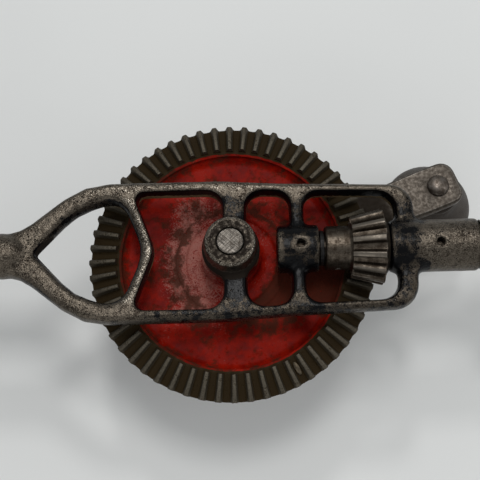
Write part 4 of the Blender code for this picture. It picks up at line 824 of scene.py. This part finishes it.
@dataclass
class Casting:
    """The cast frame: the CAD solid with soft cast corners, and the masks its finish reads."""

    looks: Finishes
    cell: float = 0.00052
    rounds: int = 5
    fillet_rounds: int = 36
    ridge_rounds: int = 4
    lump_height: float = 0.00010
    lump_scale: float = 260.0
    boss_radius: float = 0.0108
    barrel: Span = (0.0157, 0.0328)
    oil_hole: float = 0.02525
    web_middle: float = 0.0015
    wishbone: Span = (-0.0420, -0.0260)
    fork_end: float = -0.0450
    neck: float = -0.0740
    nose: float = 0.0690

    def build(self) -> None:
        """Remesh, smooth and lump the casting, then mask and place it."""
        shape = bmesh.new()
        shape.from_mesh(self._remeshed())
        for _ in range(self.rounds):
            bmesh.ops.smooth_vert(shape, verts=shape.verts, factor=0.5, use_axis_x=True,
                                  use_axis_y=True, use_axis_z=True)
        mesh = meshed("frame_skin", shape)
        self._fillet(mesh)
        shape = bmesh.new()
        shape.from_mesh(mesh)
        shape.normal_update()
        for vert in shape.verts:
            lump = noise.noise(vert.co * self.lump_scale) * self.lump_height
            vert.co += vert.normal * min(lump, 0.0)
        shape.normal_update()
        piece = add_piece("frame_casting", shape, self.looks.iron, Body.FRAME, ["frame"],
                          smooth=180.0)
        self._mask(piece.data)

    def _remeshed(self) -> bpy.types.Mesh:
        """Return the CAD frame as an even skin of small faces."""
        holder = linked("frame_source", meshed("frame_source", cad_copy("frame")))
        change = holder.modifiers.new("skin", "REMESH")
        change.mode = "VOXEL"
        change.voxel_size = self.cell
        graph = bpy.context.evaluated_depsgraph_get()
        made = bpy.data.meshes.new_from_object(holder.evaluated_get(graph))
        bpy.data.objects.remove(holder, do_unlink=True)
        return made

    @staticmethod
    def _read(mesh: bpy.types.Mesh) -> tuple[np.ndarray, np.ndarray, np.ndarray]:
        """Return a mesh's points, its normals and the two ends of each edge."""
        made = []
        for items, name, width, kind in ((mesh.vertices, "co", 3, float), (mesh.vertices, "normal", 3, float),
                                         (mesh.edges, "vertices", 2, np.int64)):
            values = np.empty(len(items) * width, dtype=kind)
            items.foreach_get(name, values)
            made.append(values.reshape(-1, width))
        return tuple(made)

    @staticmethod
    def _mean(points: np.ndarray, edges: np.ndarray) -> np.ndarray:
        """Return the mean of each point's neighbours."""
        ends, starts = np.concatenate((edges, edges[:, ::-1])).T
        share = np.bincount(ends, minlength=len(points))
        total = [np.bincount(ends, weights=part, minlength=len(points)) for part in points[starts].T]
        return np.stack(total, axis=1) / share[:, None]

    def _fillet(self, mesh: bpy.types.Mesh) -> None:
        """Fill inner corners as casting leaves them, and keep every bore and drilled hole."""
        points, normals, edges = self._read(mesh)
        x, y, z = points[:, 0], points[:, 1], points[:, 2] - AXES_Z
        keep = ramp(np.hypot(y, z), 0.0058, 0.0068) * ramp(np.hypot(x, y), 0.0060, 0.0070)
        keep = np.where(x < self.neck, 1.0, keep) * ramp(x, -0.0930, -0.0900)
        keep *= ramp(x, self.nose + 0.0030, self.nose)
        keep *= most(ramp(np.hypot(x - self.oil_hole, y), 0.0022, 0.0032), ramp(z, 0.0060, 0.0040))
        for _ in range(self.fillet_rounds):
            drift = self._mean(points, edges) - points
            rise = np.einsum("ij,ij->i", drift, normals)
            points = points + drift * (0.5 * keep * (rise > 0.0))[:, None]
        mesh.vertices.foreach_set("co", points.ravel())
        mesh.update()

    def _mask(self, mesh: bpy.types.Mesh) -> None:
        """Work out where the iron is rubbed, where a highlight is painted, where enamel is left and where
        dirt lies.
        """
        points, normals, edges = self._read(mesh)
        mean = points
        for _ in range(self.ridge_rounds):
            mean = self._mean(mean, edges)
        skin = Skin(points, normals, np.einsum("ij,ij->i", points - mean, normals) / self.cell)
        boss = ramp(skin.radius, self.boss_radius + 0.0012, self.boss_radius) * ramp(skin.z, 0.0046, 0.0062)
        start, end = self.barrel
        barrel = band(skin.x, start - 0.0010, start + 0.0010, end - 0.0010, end + 0.0010)
        barrel *= ramp(skin.across, 0.0210, 0.0150)
        masks = {"wear_and_highlight": self._wear(skin, boss), "enamel": self._enamel(skin, boss, barrel),
                 "grease": self._grease(skin, barrel), "soot": self._soot(skin, boss)}
        for name, values in masks.items():
            held = mesh.attributes.new(name, "FLOAT", "POINT")
            held.data.foreach_set("value", np.clip(values, 0.0, 1.0).astype(np.float32))

    def _enamel(self, skin: Skin, boss: np.ndarray, barrel: np.ndarray) -> np.ndarray:
        """Return how much enamel is left: little on rubbed faces, more on the barrel and webs."""
        x, y, z, facing = skin.x, skin.y, skin.z, skin.facing
        outside = ramp(skin.side * np.sign(skin.outward), 0.2, 0.8) * ramp(skin.across, 0.017, 0.021)
        rubbed = ramp(facing, 0.45, 0.95) * 1.05 + outside * ramp(facing, -0.5, 0.2) * 0.75 + boss
        rubbed += ramp(x, self.nose, self.nose + 0.0040) * 0.9 + ramp(x, self.neck, self.neck - 0.0050) * 0.9
        rubbed += ramp(skin.ridge, 0.10, 0.45) * 0.5
        web = ramp(np.abs(x - self.web_middle), 0.0110, 0.0055) * (1.0 - boss)
        web *= ramp(skin.across, 0.0235, 0.0165)
        nose_root = band(x, 0.0560, 0.0600, 0.0640, 0.0710) * ramp(skin.across, 0.0205, 0.0165)
        enamel = most(1.0 - np.clip(rubbed, 0.0, 1.0), barrel * 0.74 - ramp(skin.ridge, 0.2, 0.6) * 0.3,
                      nose_root * 0.54, web * ramp(y, 0.0, -0.006) * 0.80, web * 0.62)
        enamel *= (1.0 - 0.8 * boss) * (1.0 - 0.46 * ramp(x, -0.0400, -0.0470))
        about_hole = ramp(np.hypot(x - self.oil_hole, y), 0.0042, 0.0022) * ramp(z, 0.005, 0.007)
        ends = barrel * (ramp(x, 0.0205, 0.0180) + ramp(x, 0.0295, 0.0318)) * ramp(z, 0.0, 0.004)
        enamel -= about_hole * 0.45 + ends * 0.35 * ramp(skin.across, 0.0075, 0.0045)
        under_rail = ramp(y, -0.0140, -0.0200) * band(x, -0.0420, -0.0300, 0.0600, 0.0660)
        return most(enamel, under_rail * 0.50)

    def _wear(self, skin: Skin, boss: np.ndarray) -> np.ndarray:
        """Return how bright the iron is rubbed, most on the ridges that face up, with a painted highlight
        line along the top rail's upper edge.
        """
        x, y, facing = skin.x, skin.y, skin.facing
        fork = band(x, self.neck - 0.0050, self.neck, self.fork_end - 0.004, self.fork_end + 0.004)
        start, end = self.wishbone
        wishbone = band(x, start, start + 0.003, end - 0.002, end) * ramp(skin.across, 0.021, 0.019)
        return most(ramp(skin.ridge, 0.16, 0.50) * ramp(facing, -0.1, 0.5) * 0.80,
                    fork * ramp(facing, 0.75, 0.98) * 0.10,
                    wishbone * ramp(facing, 0.7, 0.97) * 0.55,
                    0.16 * ramp(facing, 0.8, 1.0) * ramp(y, -0.015, 0.005),
                    # Painted highlight: a bright line along the top rail's upper edge.
                    0.34 * ramp(facing, 0.35, 0.85) * ramp(y, 0.0195, 0.0225),
                    boss * ramp(skin.radius, 0.0078, 0.0086) * ramp(facing, 0.1, 0.5) * 0.55)

    def _grease(self, skin: Skin, barrel: np.ndarray) -> np.ndarray:
        """Return how much grease is caught along the window walls' back edges."""
        near_web = most(ramp(skin.radius, 0.0200, 0.0150), barrel,
                        band(skin.x, -0.0340, -0.0290, -0.0240, -0.0180) * 0.6,
                        band(skin.x, 0.0540, 0.0580, 0.0630, 0.0660))
        grease = band(skin.z, -0.0066, -0.0046, -0.0002, 0.0020) * (0.46 + 0.30 * near_web)
        grease *= (1.0 - ramp(skin.facing, -0.2, 0.35)) * (1.0 - ramp(skin.outward, 0.0, 0.006))
        return grease * (1.0 - 0.55 * ramp(skin.x, -0.0400, -0.0470))

    def _soot(self, skin: Skin, boss: np.ndarray) -> np.ndarray:
        """Return how much black dirt lies in the fork, about the axle and in the hollows."""
        x, z, radius = skin.x, skin.z, skin.radius
        crotch = band(x, self.neck, -0.0715, -0.0680, -0.0600) * ramp(skin.across, 0.0085, 0.0060)
        foot = band(radius, 0.0088, 0.0094, 0.0110, 0.0135) * ramp(z, 0.0075, 0.0055)
        collar = band(x, -0.0985, -0.0972, -0.0968, -0.0955)
        return most(crotch * ramp(skin.facing, 0.60, 0.10) * 0.62, boss * ramp(radius, 0.0088, 0.0074) * 0.38,
                    foot * ramp(skin.y, 0.004, -0.004) * ramp(z, 0.0, 0.003) * 0.62,
                    collar * 0.7, 0.42 * ramp(skin.ridge, -0.10, -0.40))


# Handle

@dataclass
class Handle:
    """The turned handle and its ferrule."""

    looks: Finishes
    steps: int = 72
    bore: float = 0.0043
    seat: float = 0.0097
    waist: float = 0.0118
    rear: float = 0.0135
    flat: float = 0.0080
    ferrule_wall: float = 0.0010
    bead: float = 0.00045
    groove: float = 0.0006
    groove_half: float = 0.0012

    def build(self) -> None:
        """Make the ferrule and the handle about the spindle's axis."""
        low, high = cad_box("handle_ferrule")
        radius = (high.y - low.y) / 2.0
        inner, face = radius - self.ferrule_wall, high.x - self.ferrule_wall
        profile = [(high.x, self.bore), (high.x, radius - 0.0010), (high.x - 0.0007, radius - 0.0001)]
        for place in (high.x - 0.0028, low.x + 0.0022):
            profile += [(place + 0.0010, radius), (place + 0.0007, radius - self.bead),
                        (place, radius - self.bead), (place - 0.0003, radius)]
        profile += [(low.x, radius), (low.x, inner), (face, inner), (face, self.bore)]
        shape = turned(rounded_profile(profile, 0.0004, True), self.steps, True)
        add_piece("turned_ferrule", posed(shape, SPINDLE_AXIS), self.looks.worn, Body.FRAME,
                  ["handle_ferrule"])
        shape = turned(rounded_profile(self._profile(low.x), 0.0006, False), self.steps)
        add_piece("turned_handle", posed(shape, SPINDLE_AXIS), self.looks.handle, Body.FRAME,
                  ["main_handle"])
        redress(self.looks.bright, "handle_pin")

    def _profile(self, ferrule_end: float) -> Profile:
        """Return the handle's outline from the bottom of its bore round to its butt."""
        low, high = cad_box("main_handle")
        belly = (high.y - low.y) / 2.0
        shoulder = ferrule_end - GAP
        span = shoulder - low.x
        middle, rear_place = shoulder - 0.50 * span, shoulder - 0.86 * span
        tang_end = cad_box("frame")[0].x - 0.0010
        waist, rear = self.waist, self.rear
        points = [(tang_end, 0.0), (tang_end, self.bore), (high.x, self.bore), (high.x, self.seat),
                  (shoulder, self.seat), (shoulder, waist - 0.0008), (shoulder - 0.0010, waist),
                  (shoulder - 0.0034, waist + 0.0001), (shoulder - 0.0040, waist - 0.0007),
                  (shoulder - 0.0052, waist - 0.0007), (shoulder - 0.0058, waist)]
        points += eased((shoulder - 0.0062, waist), (middle, belly), 18)
        points += eased((middle, belly), (rear_place, rear), 14)
        groove = rear_place + 0.0020
        points = [point for point in points if abs(point[0] - groove) >= self.groove_half]
        points += [(groove + 0.0010, rear + 0.0001), (groove + 0.0004, rear - self.groove),
                   (groove - 0.0004, rear - self.groove), (groove - 0.0010, rear)]
        return points + quarter((rear_place, rear), (low.x, self.flat), 10)[1:] + [(low.x, 0.0)]


# Toothed wheels

@dataclass
class Teeth:
    """The straight bevel teeth of one wheel of the pair, with eased tips, roots and ends."""

    count: int
    mate: int
    thickness: float
    outer: float
    inner: float
    tip_diameter: float = 0.1080
    wide_count: int = 56
    addendum: float = 0.00120
    dedendum: float = 0.00150
    pressure: float = radians(20.0)
    easing: float = 0.00028
    near: float = 0.000004

    def __post_init__(self) -> None:
        """Work out the pitch cones from the wide wheel's tip circle."""
        self.cone = atan2(self.count, self.mate)
        wide_cone = atan2(self.wide_count, self.count + self.mate - self.wide_count)
        wide_pitch = self.tip_diameter / 2.0 - self.addendum * cos(wide_cone)
        self.length = wide_pitch / sin(wide_cone)
        self.pitch_radius = self.length * sin(self.cone)
        self.pitch = 2.0 * pi / self.count

    def half_angle(self, height: float) -> float:
        """Return half the angle that a tooth takes about the axis, at a height over the pitch cone."""
        virtual = self.pitch_radius / cos(self.cone)
        base = virtual * cos(self.pressure)
        slope = acos(base / max(virtual + height, base))
        spread = (tan(self.pressure) - self.pressure) - (tan(slope) - slope)
        return (self.thickness / (2.0 * virtual) + spread) / cos(self.cone)

    def columns(self) -> list[Span]:
        """Return (angle, height share) of each column over one pitch, from a tooth's middle on."""
        depth = self.addendum + self.dedendum
        ease = self.easing / self.pitch_radius
        places = ((1.0, -1.2, 1.0), (1.0, -0.35, 0.975), (0.90, 0.0, 0.90), (0.62, 0.0, 0.62),
                  (0.34, 0.0, 0.34), (0.14, 0.0, 0.14), (0.0, 0.5, 0.03), (0.0, 1.8, 0.0))
        half = [(self.half_angle(share * depth - self.dedendum) + shift * ease, lift)
                for share, shift, lift in places]
        other = [(self.pitch - angle, lift) for angle, lift in reversed(half)]
        return [(0.0, 1.0)] + half + [(self.pitch / 2.0, 0.0)] + other

    def point(self, scale: float, share: float) -> Span:
        """Return (along, radius) at a share of a tooth's height and a scale towards the apex."""
        height = share * (self.addendum + self.dedendum) - self.dedendum
        along = self.length * cos(self.cone) - height * sin(self.cone)
        return along * scale, (self.pitch_radius + height * cos(self.cone)) * scale

    def wheel(self, body: Profile, wobble: float, seed: float) -> Shape:
        """Spin the body with a band for the teeth, and press the gullets into the band.

        Args:
            body: (along, radius) from behind the teeth's outer end round to the foot of the inner.
            wobble: how far the cast or worn surface strays.
            seed: where in the noise this wheel's surface lies.

        Returns:
            The wheel along +X, with a layer "tooth" for the height share and "bare" for the band.
        """
        ease = self.easing / self.length
        middle = (self.inner + self.outer) / 2.0
        rows = [(self.inner, 0.0), (self.inner, 0.88), (self.inner + ease * 0.4, 0.97),
                (self.inner + ease * 1.3, 1.0), (middle, 1.0), (self.outer - ease * 1.3, 1.0),
                (self.outer - ease * 0.4, 0.97), (self.outer, 0.88), (self.outer, 0.0)]
        band_points = [(self.point(scale, lift), scale, lift) for scale, lift in rows]
        columns = self.columns()
        around = self.count * len(columns)
        shape = turned(body + [point for point, _, _ in band_points], around, True)
        tooth_layer = shape.verts.layers.float.new("tooth")
        bare_layer = shape.verts.layers.float.new("bare")
        for vert in shape.verts:
            along, radius = vert.co.x, Vector((vert.co.y, vert.co.z)).length
            index = round((atan2(vert.co.y, vert.co.z) % (2.0 * pi)) / (2.0 * pi) * around) % around
            tooth, column = divmod(index, len(columns))
            angle, share = columns[column]
            found = [(scale, lift) for place, scale, lift in band_points
                     if abs(along - place[0]) < self.near and abs(radius - place[1]) < self.near]
            if found:
                scale, lift = found[0]
                along, radius = self.point(scale, lift * share)
                vert[tooth_layer] = lift * share
                vert[bare_layer] = 1.0
            turn = tooth * self.pitch + angle
            place = Vector((along, radius * sin(turn), radius * cos(turn)))
            if found:
                place += noise.noise_vector(place * 900.0 + Vector((seed, 0.0, 0.0))) * wobble
            vert.co = place
        bmesh.ops.remove_doubles(shape, verts=shape.verts, dist=self.near)
        bmesh.ops.recalc_face_normals(shape, faces=shape.faces)
        return shape


GEAR_TEETH = Teeth(count=56, mate=13, thickness=0.00245, outer=1.0, inner=0.80964)


@dataclass
class DriveGear:
    """The drive gear, its axle with the screw behind, and a lump of grease in one gullet."""

    looks: Finishes
    disc_front: float = 0.0152
    disc_back: float = 0.0188
    back: float = 0.0228
    hub_front: float = 0.0079
    hub: float = 0.0110
    back_hub: float = 0.0145
    bore: float = 0.00505
    ring_inner: float = 0.01755
    ring_outer: float = 0.02095
    ring_height: float = 0.0008
    rim_wall: float = 0.0016
    chamfer: float = 0.0022
    outer_side: float = 0.0500
    lump_angle: float = radians(-62.5)
    lump_radii: Span = (0.0452, 0.0502)
    lump_width: float = 0.00095
    lump_height: float = 0.00090
    lump_rise: float = 0.0005
    lump_rough: float = 0.18

    def build(self) -> None:
        """Make the wheel, hang it under the crossing of the axes and mask its paint."""
        outer = GEAR_TEETH.point(1.0, 0.0)
        inner = GEAR_TEETH.point(GEAR_TEETH.inner, 0.0)
        wall = inner[1] - self.rim_wall
        front, back = self.disc_front, self.disc_back
        raised = front - self.ring_height
        body = [
            (outer[0] + 0.0006, outer[1]), (back - self.chamfer, outer[1] - 0.0004),
            (back, outer[1] - self.chamfer), (back, self.back_hub + 0.0012),
            (back + 0.0012, self.back_hub), (self.back, self.back_hub), (self.back, self.bore),
            (self.hub_front, self.bore), (self.hub_front, self.hub), (front - 0.0016, self.hub),
            (front, self.hub + 0.0016), (front, self.ring_inner - 0.0006), (raised, self.ring_inner),
            (raised, self.ring_outer), (front, self.ring_outer + 0.0006), (front, wall - 0.0020),
            (front - 0.0020, wall), (inner[0] + 0.0006, wall + 0.0001),
        ]
        shape = GEAR_TEETH.wheel(rounded_profile(body, 0.0010, False), wobble=0.00009, seed=3.0)
        shape = posed(shape, SPINDLE_AXIS, -UPRIGHT)
        self._paint(shape)
        add_piece("drive_gear_casting", shape, self.looks.gear, Body.GEAR, ["drive_gear"],
                  smooth=40.0)
        self._grease_lump()
        redress(self.looks.axle, "gear_axle")
        redress(self.looks.worn_upright, "gear_spacer", "axle_washer", "axle_screw")

    def _paint(self, shape: Shape) -> None:
        """Stain the disc, paint the frame's shadow on its lower right, and leave the outer side behind the
        teeth bare too.
        """
        layers = shape.verts.layers.float
        stain_and_shadow, bare, tooth = layers.new("stain_and_shadow"), layers["bare"], layers["tooth"]
        for vert in shape.verts:
            radius = Vector(vert.co[:2]).length
            turn = atan2(vert.co.y, vert.co.x)
            rim = risen(radius, 0.0375, 0.0040) * (0.55 + 0.45 * max(0.0, cos(turn - pi)))
            ringed = max(0.0, 1.0 - abs(radius - self.ring_outer) / 0.0045)
            # Painted shadow of the frame on the disc's lower right, as it falls at rest.
            painted_frame_shadow = max(0.0, cos(turn + 0.50)) ** 4 * risen(radius, 0.012, 0.006)
            painted_frame_shadow *= risen(vert.co.y, -0.0240, 0.0060)
            vert[stain_and_shadow] = 0.19 + 0.24 * rim + 0.27 * ringed + 0.34 * painted_frame_shadow
            if not vert[bare] and radius > self.outer_side:
                vert[bare] = 0.9
                vert[tooth] = 0.35

    def _grease_lump(self) -> None:
        """Set a lump of dried grease in the gullet nearest its place."""
        pitch = GEAR_TEETH.pitch
        turn = (round(self.lump_angle / pitch - 0.5) + 0.5) * pitch
        shape = bmesh.new()
        bmesh.ops.create_icosphere(shape, subdivisions=3, radius=1.0)
        start, end = self.lump_radii
        middle = (start + end) / 2.0
        along, radius = GEAR_TEETH.point(1.0, 0.0)
        depth = along * middle / radius
        for vert in shape.verts:
            vert.co *= 1.0 + self.lump_rough * noise.noise(vert.co * 2.3)
            out = vert.co.x * (end - start) / 2.0
            height = AXES_Z - depth - out / tan(GEAR_TEETH.cone) + self.lump_rise
            vert.co = Vector((middle + out, vert.co.y * self.lump_width,
                              height + vert.co.z * self.lump_height))
        posed(shape, ORIGIN, turn, "Z")
        add_piece("grease_lump", shape, self.looks.grease, Body.GEAR, smooth=180.0)


@dataclass
class Crank:
    """The crank arm, the rivet, the screws in its hub and the turning knob."""

    looks: Finishes
    edge: float = 0.00028
    rubbed: Span = (0.74, 0.985)
    steps: int = 56
    rivet_shank: float = 0.0025
    rivet_head: float = 0.00435
    knob_bore: float = 0.0028
    neck: float = 0.0095
    knob_end: float = 0.0100
    screw_shank: float = 0.0018
    screw_head: float = 0.0014
    slot_width: float = 0.0009
    slot_depth: float = 0.0007
    slot_turns: float = 900.0

    def build(self) -> None:
        """Make each piece from its CAD node's place."""
        arm = softened(cad_copy("crank_arm"), self.edge, radians(30.0))
        plate = add_piece("crank_plate", arm, self.looks.crank, Body.GEAR, ["crank_arm"],
                          smooth=40.0)
        plate.data.materials.append(self.looks.crank_edge)
        for face in plate.data.polygons:
            if self.rubbed[0] < face.normal.z < self.rubbed[1]:
                face.material_index = 1
        self._rivet()
        self._knob()
        for index in (1, 2, 3):
            self._screw("crank_screw_%d" % index)
        redress(self.looks.worn_upright, "knob_washer")

    @staticmethod
    def _place(node: str) -> tuple[float, float, Triple, float]:
        """Return a round upright node's lowest and highest height, its axis and its radius."""
        low, high = cad_box(node)
        return low.z, high.z, ((low.x + high.x) / 2.0, (low.y + high.y) / 2.0, 0.0), (high.x - low.x) / 2.0

    def _rivet(self) -> None:
        """Turn the rivet with its domed head in front and its peened tail behind."""
        bottom, top, place, tail = self._place("knob_rivet")
        back = cad_box("crank_knob")[0].z - GAP
        front = cad_box("crank_arm")[1].z + GAP
        profile = [(bottom, 0.0)] + quarter((back, tail), (bottom, 0.0), 6)[-2::-1]
        profile += [(back, self.rivet_shank), (front, self.rivet_shank)]
        profile += quarter((front, self.rivet_head), (top, 0.0), 9)
        add_piece("domed_rivet", posed(turned(profile, 40), place, UPRIGHT), self.looks.rivet, Body.GEAR,
                  ["knob_rivet"])

    def _knob(self) -> None:
        """Turn the knob, with a shallow step below its neck and a flat end."""
        bottom, top, place, belly = self._place("crank_knob")
        neck, swell = self.neck, top - 0.56 * (top - bottom)
        points = [(top, self.knob_bore), (top, neck - 0.0008), (top - 0.0008, neck), (top - 0.0022, neck),
                  (top - 0.0026, neck - 0.0006), (top - 0.0034, neck - 0.0005)]
        points += eased((top - 0.0034, neck), (swell, belly), 15)[1:]
        points += quarter((swell, belly), (bottom, self.knob_end), 10) + [(bottom, self.knob_bore)]
        shape = turned(rounded_profile(points, 0.0005, True), self.steps, True)
        add_piece("turned_knob", posed(shape, place, UPRIGHT), self.looks.knob, Body.KNOB,
                  ["crank_knob"])

    def _screw(self, node: str) -> None:
        """Turn one slotted screw, head down, and cut its slot."""
        bottom, top, place, head = self._place(node)
        seat = bottom + self.screw_head
        profile = [(bottom, 0.0), (bottom, head * 0.62), (bottom + 0.0005, head * 0.93),
                   (bottom + 0.0008, head), (seat, head), (seat, self.screw_shank),
                   (top, self.screw_shank), (top, 0.0)]
        shape = posed(turned(rounded_profile(profile, 0.0002, False), 32), ORIGIN, UPRIGHT)
        slot = self.slot_width / 2.0
        for side in (-slot, slot):
            bmesh.ops.bisect_plane(shape, geom=shape.verts[:] + shape.edges[:] + shape.faces[:], dist=WELD,
                                   plane_co=(side, 0.0, 0.0), plane_no=(1.0, 0.0, 0.0))
        for vert in shape.verts:
            if abs(vert.co.x) < slot - NEAR:
                vert.co.z = max(vert.co.z, bottom + self.slot_depth)
        posed(shape, place, place[0] * self.slot_turns, "Z")
        add_piece("slotted_" + node, shape, self.looks.worn_upright, Body.GEAR, [node])


@dataclass
class SpindleLine:
    """The pinion with its hub, the washers and the spindle itself."""

    looks: Finishes
    hub: float = 0.0080
    bore: float = 0.00505
    overhang: float = 0.0016
    face_width: float = 0.0120
    tooth: float = 0.002877

    def build(self) -> None:
        """Cut the pinion and finish the plain pieces on its line."""
        outer = 1.0 + self.overhang / GEAR_TEETH.length
        inner = outer - self.face_width / GEAR_TEETH.length
        teeth = Teeth(GEAR_TEETH.mate, GEAR_TEETH.count, self.tooth, outer, inner, easing=0.00030)
        start, back = (corner.x for corner in cad_box("pinion"))
        root = teeth.point(1.0, 0.0)[1]
        foot = teeth.point(inner, 0.0)[0]
        body = [(back - 0.0004, root - 0.0012), (back, root - 0.0016), (back, self.bore), (start, self.bore),
                (start, self.hub - 0.0006), (start + 0.0006, self.hub), (foot - 0.0010, self.hub),
                (foot - 0.0002, self.hub + 0.0007)]
        shape = teeth.wheel(rounded_profile(body, 0.0004, False), wobble=0.00004, seed=9.0)
        add_piece("cut_pinion", posed(shape, SPINDLE_AXIS), self.looks.pinion, Body.SPINDLE,
                  ["pinion"], smooth=32.0)
        redress(self.looks.bright, "pinion_pin")
        redress(self.looks.pinion, "spindle")
        redress(self.looks.black, "rear_thrust_washer")
        redress(self.looks.worn, "nose_thrust_washer")


@dataclass
class Chuck:
    """The chuck: its body, the knurled sleeve and the jaws."""

    looks: Finishes
    bore: float = 0.0135
    steps: int = 160
    rows: int = 64
    knurls: int = 40
    depth: float = 0.00034
    slope: float = 950.0
    plain: float = 0.0034
    margin: float = 1e-5

    def build(self) -> None:
        """Knurl the sleeve and finish the rest."""
        low, high = cad_box("chuck_sleeve")
        radius = (high.y - low.y) / 2.0
        root = radius - self.depth
        start, end = low.x + self.plain, high.x - self.plain
        profile = [(low.x, self.bore), (low.x, radius - 0.0012), (low.x + 0.0012, radius),
                   (start - 0.0008, radius), (start - 0.0005, root), (start - 0.0001, root)]
        profile += [(start + (end - start) * row / self.rows, radius) for row in range(self.rows + 1)]
        profile += [(end + 0.0001, root), (end + 0.0005, root), (end + 0.0008, radius),
                    (high.x - 0.0016, radius), (high.x, radius - 0.0016), (high.x, self.bore)]
        shape = turned(profile, self.steps, True)
        for vert in shape.verts:
            reach = Vector((vert.co.y, vert.co.z)).length
            if reach > radius - self.margin and start - NEAR < vert.co.x < end + NEAR:
                turn = atan2(vert.co.y, vert.co.z) * self.knurls / 2.0
                shift = (vert.co.x - start) * self.slope
                factor = (radius - self.depth * max(abs(sin(turn + shift)), abs(sin(turn - shift)))) / reach
                vert.co.y *= factor
                vert.co.z *= factor
        add_piece("knurled_sleeve", posed(shape, SPINDLE_AXIS), self.looks.worn, Body.SLEEVE,
                  ["chuck_sleeve"], smooth=22.0)
        redress(self.looks.worn, "chuck_body")
        redress(self.looks.black, "chuck_nut")
        redress(self.looks.bright, "jaw_1", "jaw_2", "jaw_3")


# Studio

@dataclass
class Studio:
    """The pale floor, soft lamps and the camera at the photograph's angle."""

    looks: Finishes
    camera_place: Triple = (0.007223, -0.091625, 0.310489)
    camera_right: Triple = (0.99959938, -0.021665, -0.01821258)
    camera_up: Triple = (0.02593624, 0.95877015, 0.28299666)
    camera_back: Triple = (0.01133056, -0.28335565, 0.95894796)
    lens: float = 69.07
    sensor: float = 36.0
    clip: Span = (0.01, 20.0)
    floor_gap: float = 0.0004
    floor_half: float = 1.6
    world: Triple = (0.93, 0.97, 1.0)
    world_level: float = 0.42

    def build(self) -> None:
        """Set out the floor, the lamps, the world and the camera."""
        self._floor()
        self._lamp("key", (0.05, 0.24, 1.06), (0.28, 0.28), 3.5)
        self._lamp("rear", (-0.02, 0.60, 0.90), (0.12, 0.12), 1.8)
        self._lamp("side", (0.75, -0.10, 0.50), (0.50, 0.50), 1.2)
        self._lamp("low", (-0.25, -0.70, 0.40), (0.60, 0.40), 0.8)
        world = bpy.data.worlds.new("studio")
        world.use_nodes = True
        back = world.node_tree.nodes["Background"]
        back.inputs["Color"].default_value = (*self.world, 1.0)
        back.inputs["Strength"].default_value = self.world_level
        bpy.context.scene.world = world
        bpy.context.scene.view_settings.view_transform = "Standard"
        self._camera()

    def _camera(self) -> None:
        """Set the camera where the photograph was taken from."""
        lens = bpy.data.cameras.new("camera")
        lens.lens = self.lens
        lens.sensor_width = self.sensor
        lens.clip_start, lens.clip_end = self.clip
        camera = linked("camera", lens)
        turn = Matrix((self.camera_right, self.camera_up, self.camera_back)).transposed()
        camera.matrix_world = Matrix.Translation(self.camera_place) @ turn.to_4x4()
        bpy.context.scene.camera = camera

    def _floor(self) -> None:
        """Lay the pale surface just under the lowest piece."""
        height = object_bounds()[0].z - self.floor_gap
        shape = bmesh.new()
        bmesh.ops.create_grid(shape, x_segments=8, y_segments=8, size=self.floor_half)
        bmesh.ops.translate(shape, verts=shape.verts, vec=(0.0, 0.0, height))
        mesh = meshed("floor", shape)
        mesh.materials.append(self.looks.floor)
        floor = linked("floor", mesh)
        floor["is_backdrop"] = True

    @staticmethod
    def _lamp(name: str, place: Triple, size: Span, power: float) -> None:
        """Hang a soft lamp that points at the drill.

        Args:
            name: the lamp's name.
            place: where it hangs.
            size: its width and height.
            power: its power in watts.
        """
        light = bpy.data.lights.new(name, "AREA")
        light.shape = "RECTANGLE"
        light.size, light.size_y = size
        light.energy = power
        lamp = linked(name, light)
        lamp.location = place
        lamp.rotation_mode = "QUATERNION"
        lamp.rotation_quaternion = (-Vector(place)).to_track_quat("-Z", "Y")


def main() -> None:
    """Dress the drill piece by piece and set the studio."""
    logging.basicConfig(level=logging.INFO, format="%(name)s %(message)s")
    looks = Finishes()
    for part in (Casting(looks), Handle(looks), DriveGear(looks), Crank(looks), SpindleLine(looks),
                 Chuck(looks), Studio(looks)):
        LOG.info("building %s", type(part).__name__)
        part.build()


if __name__ == "__main__":
    main()
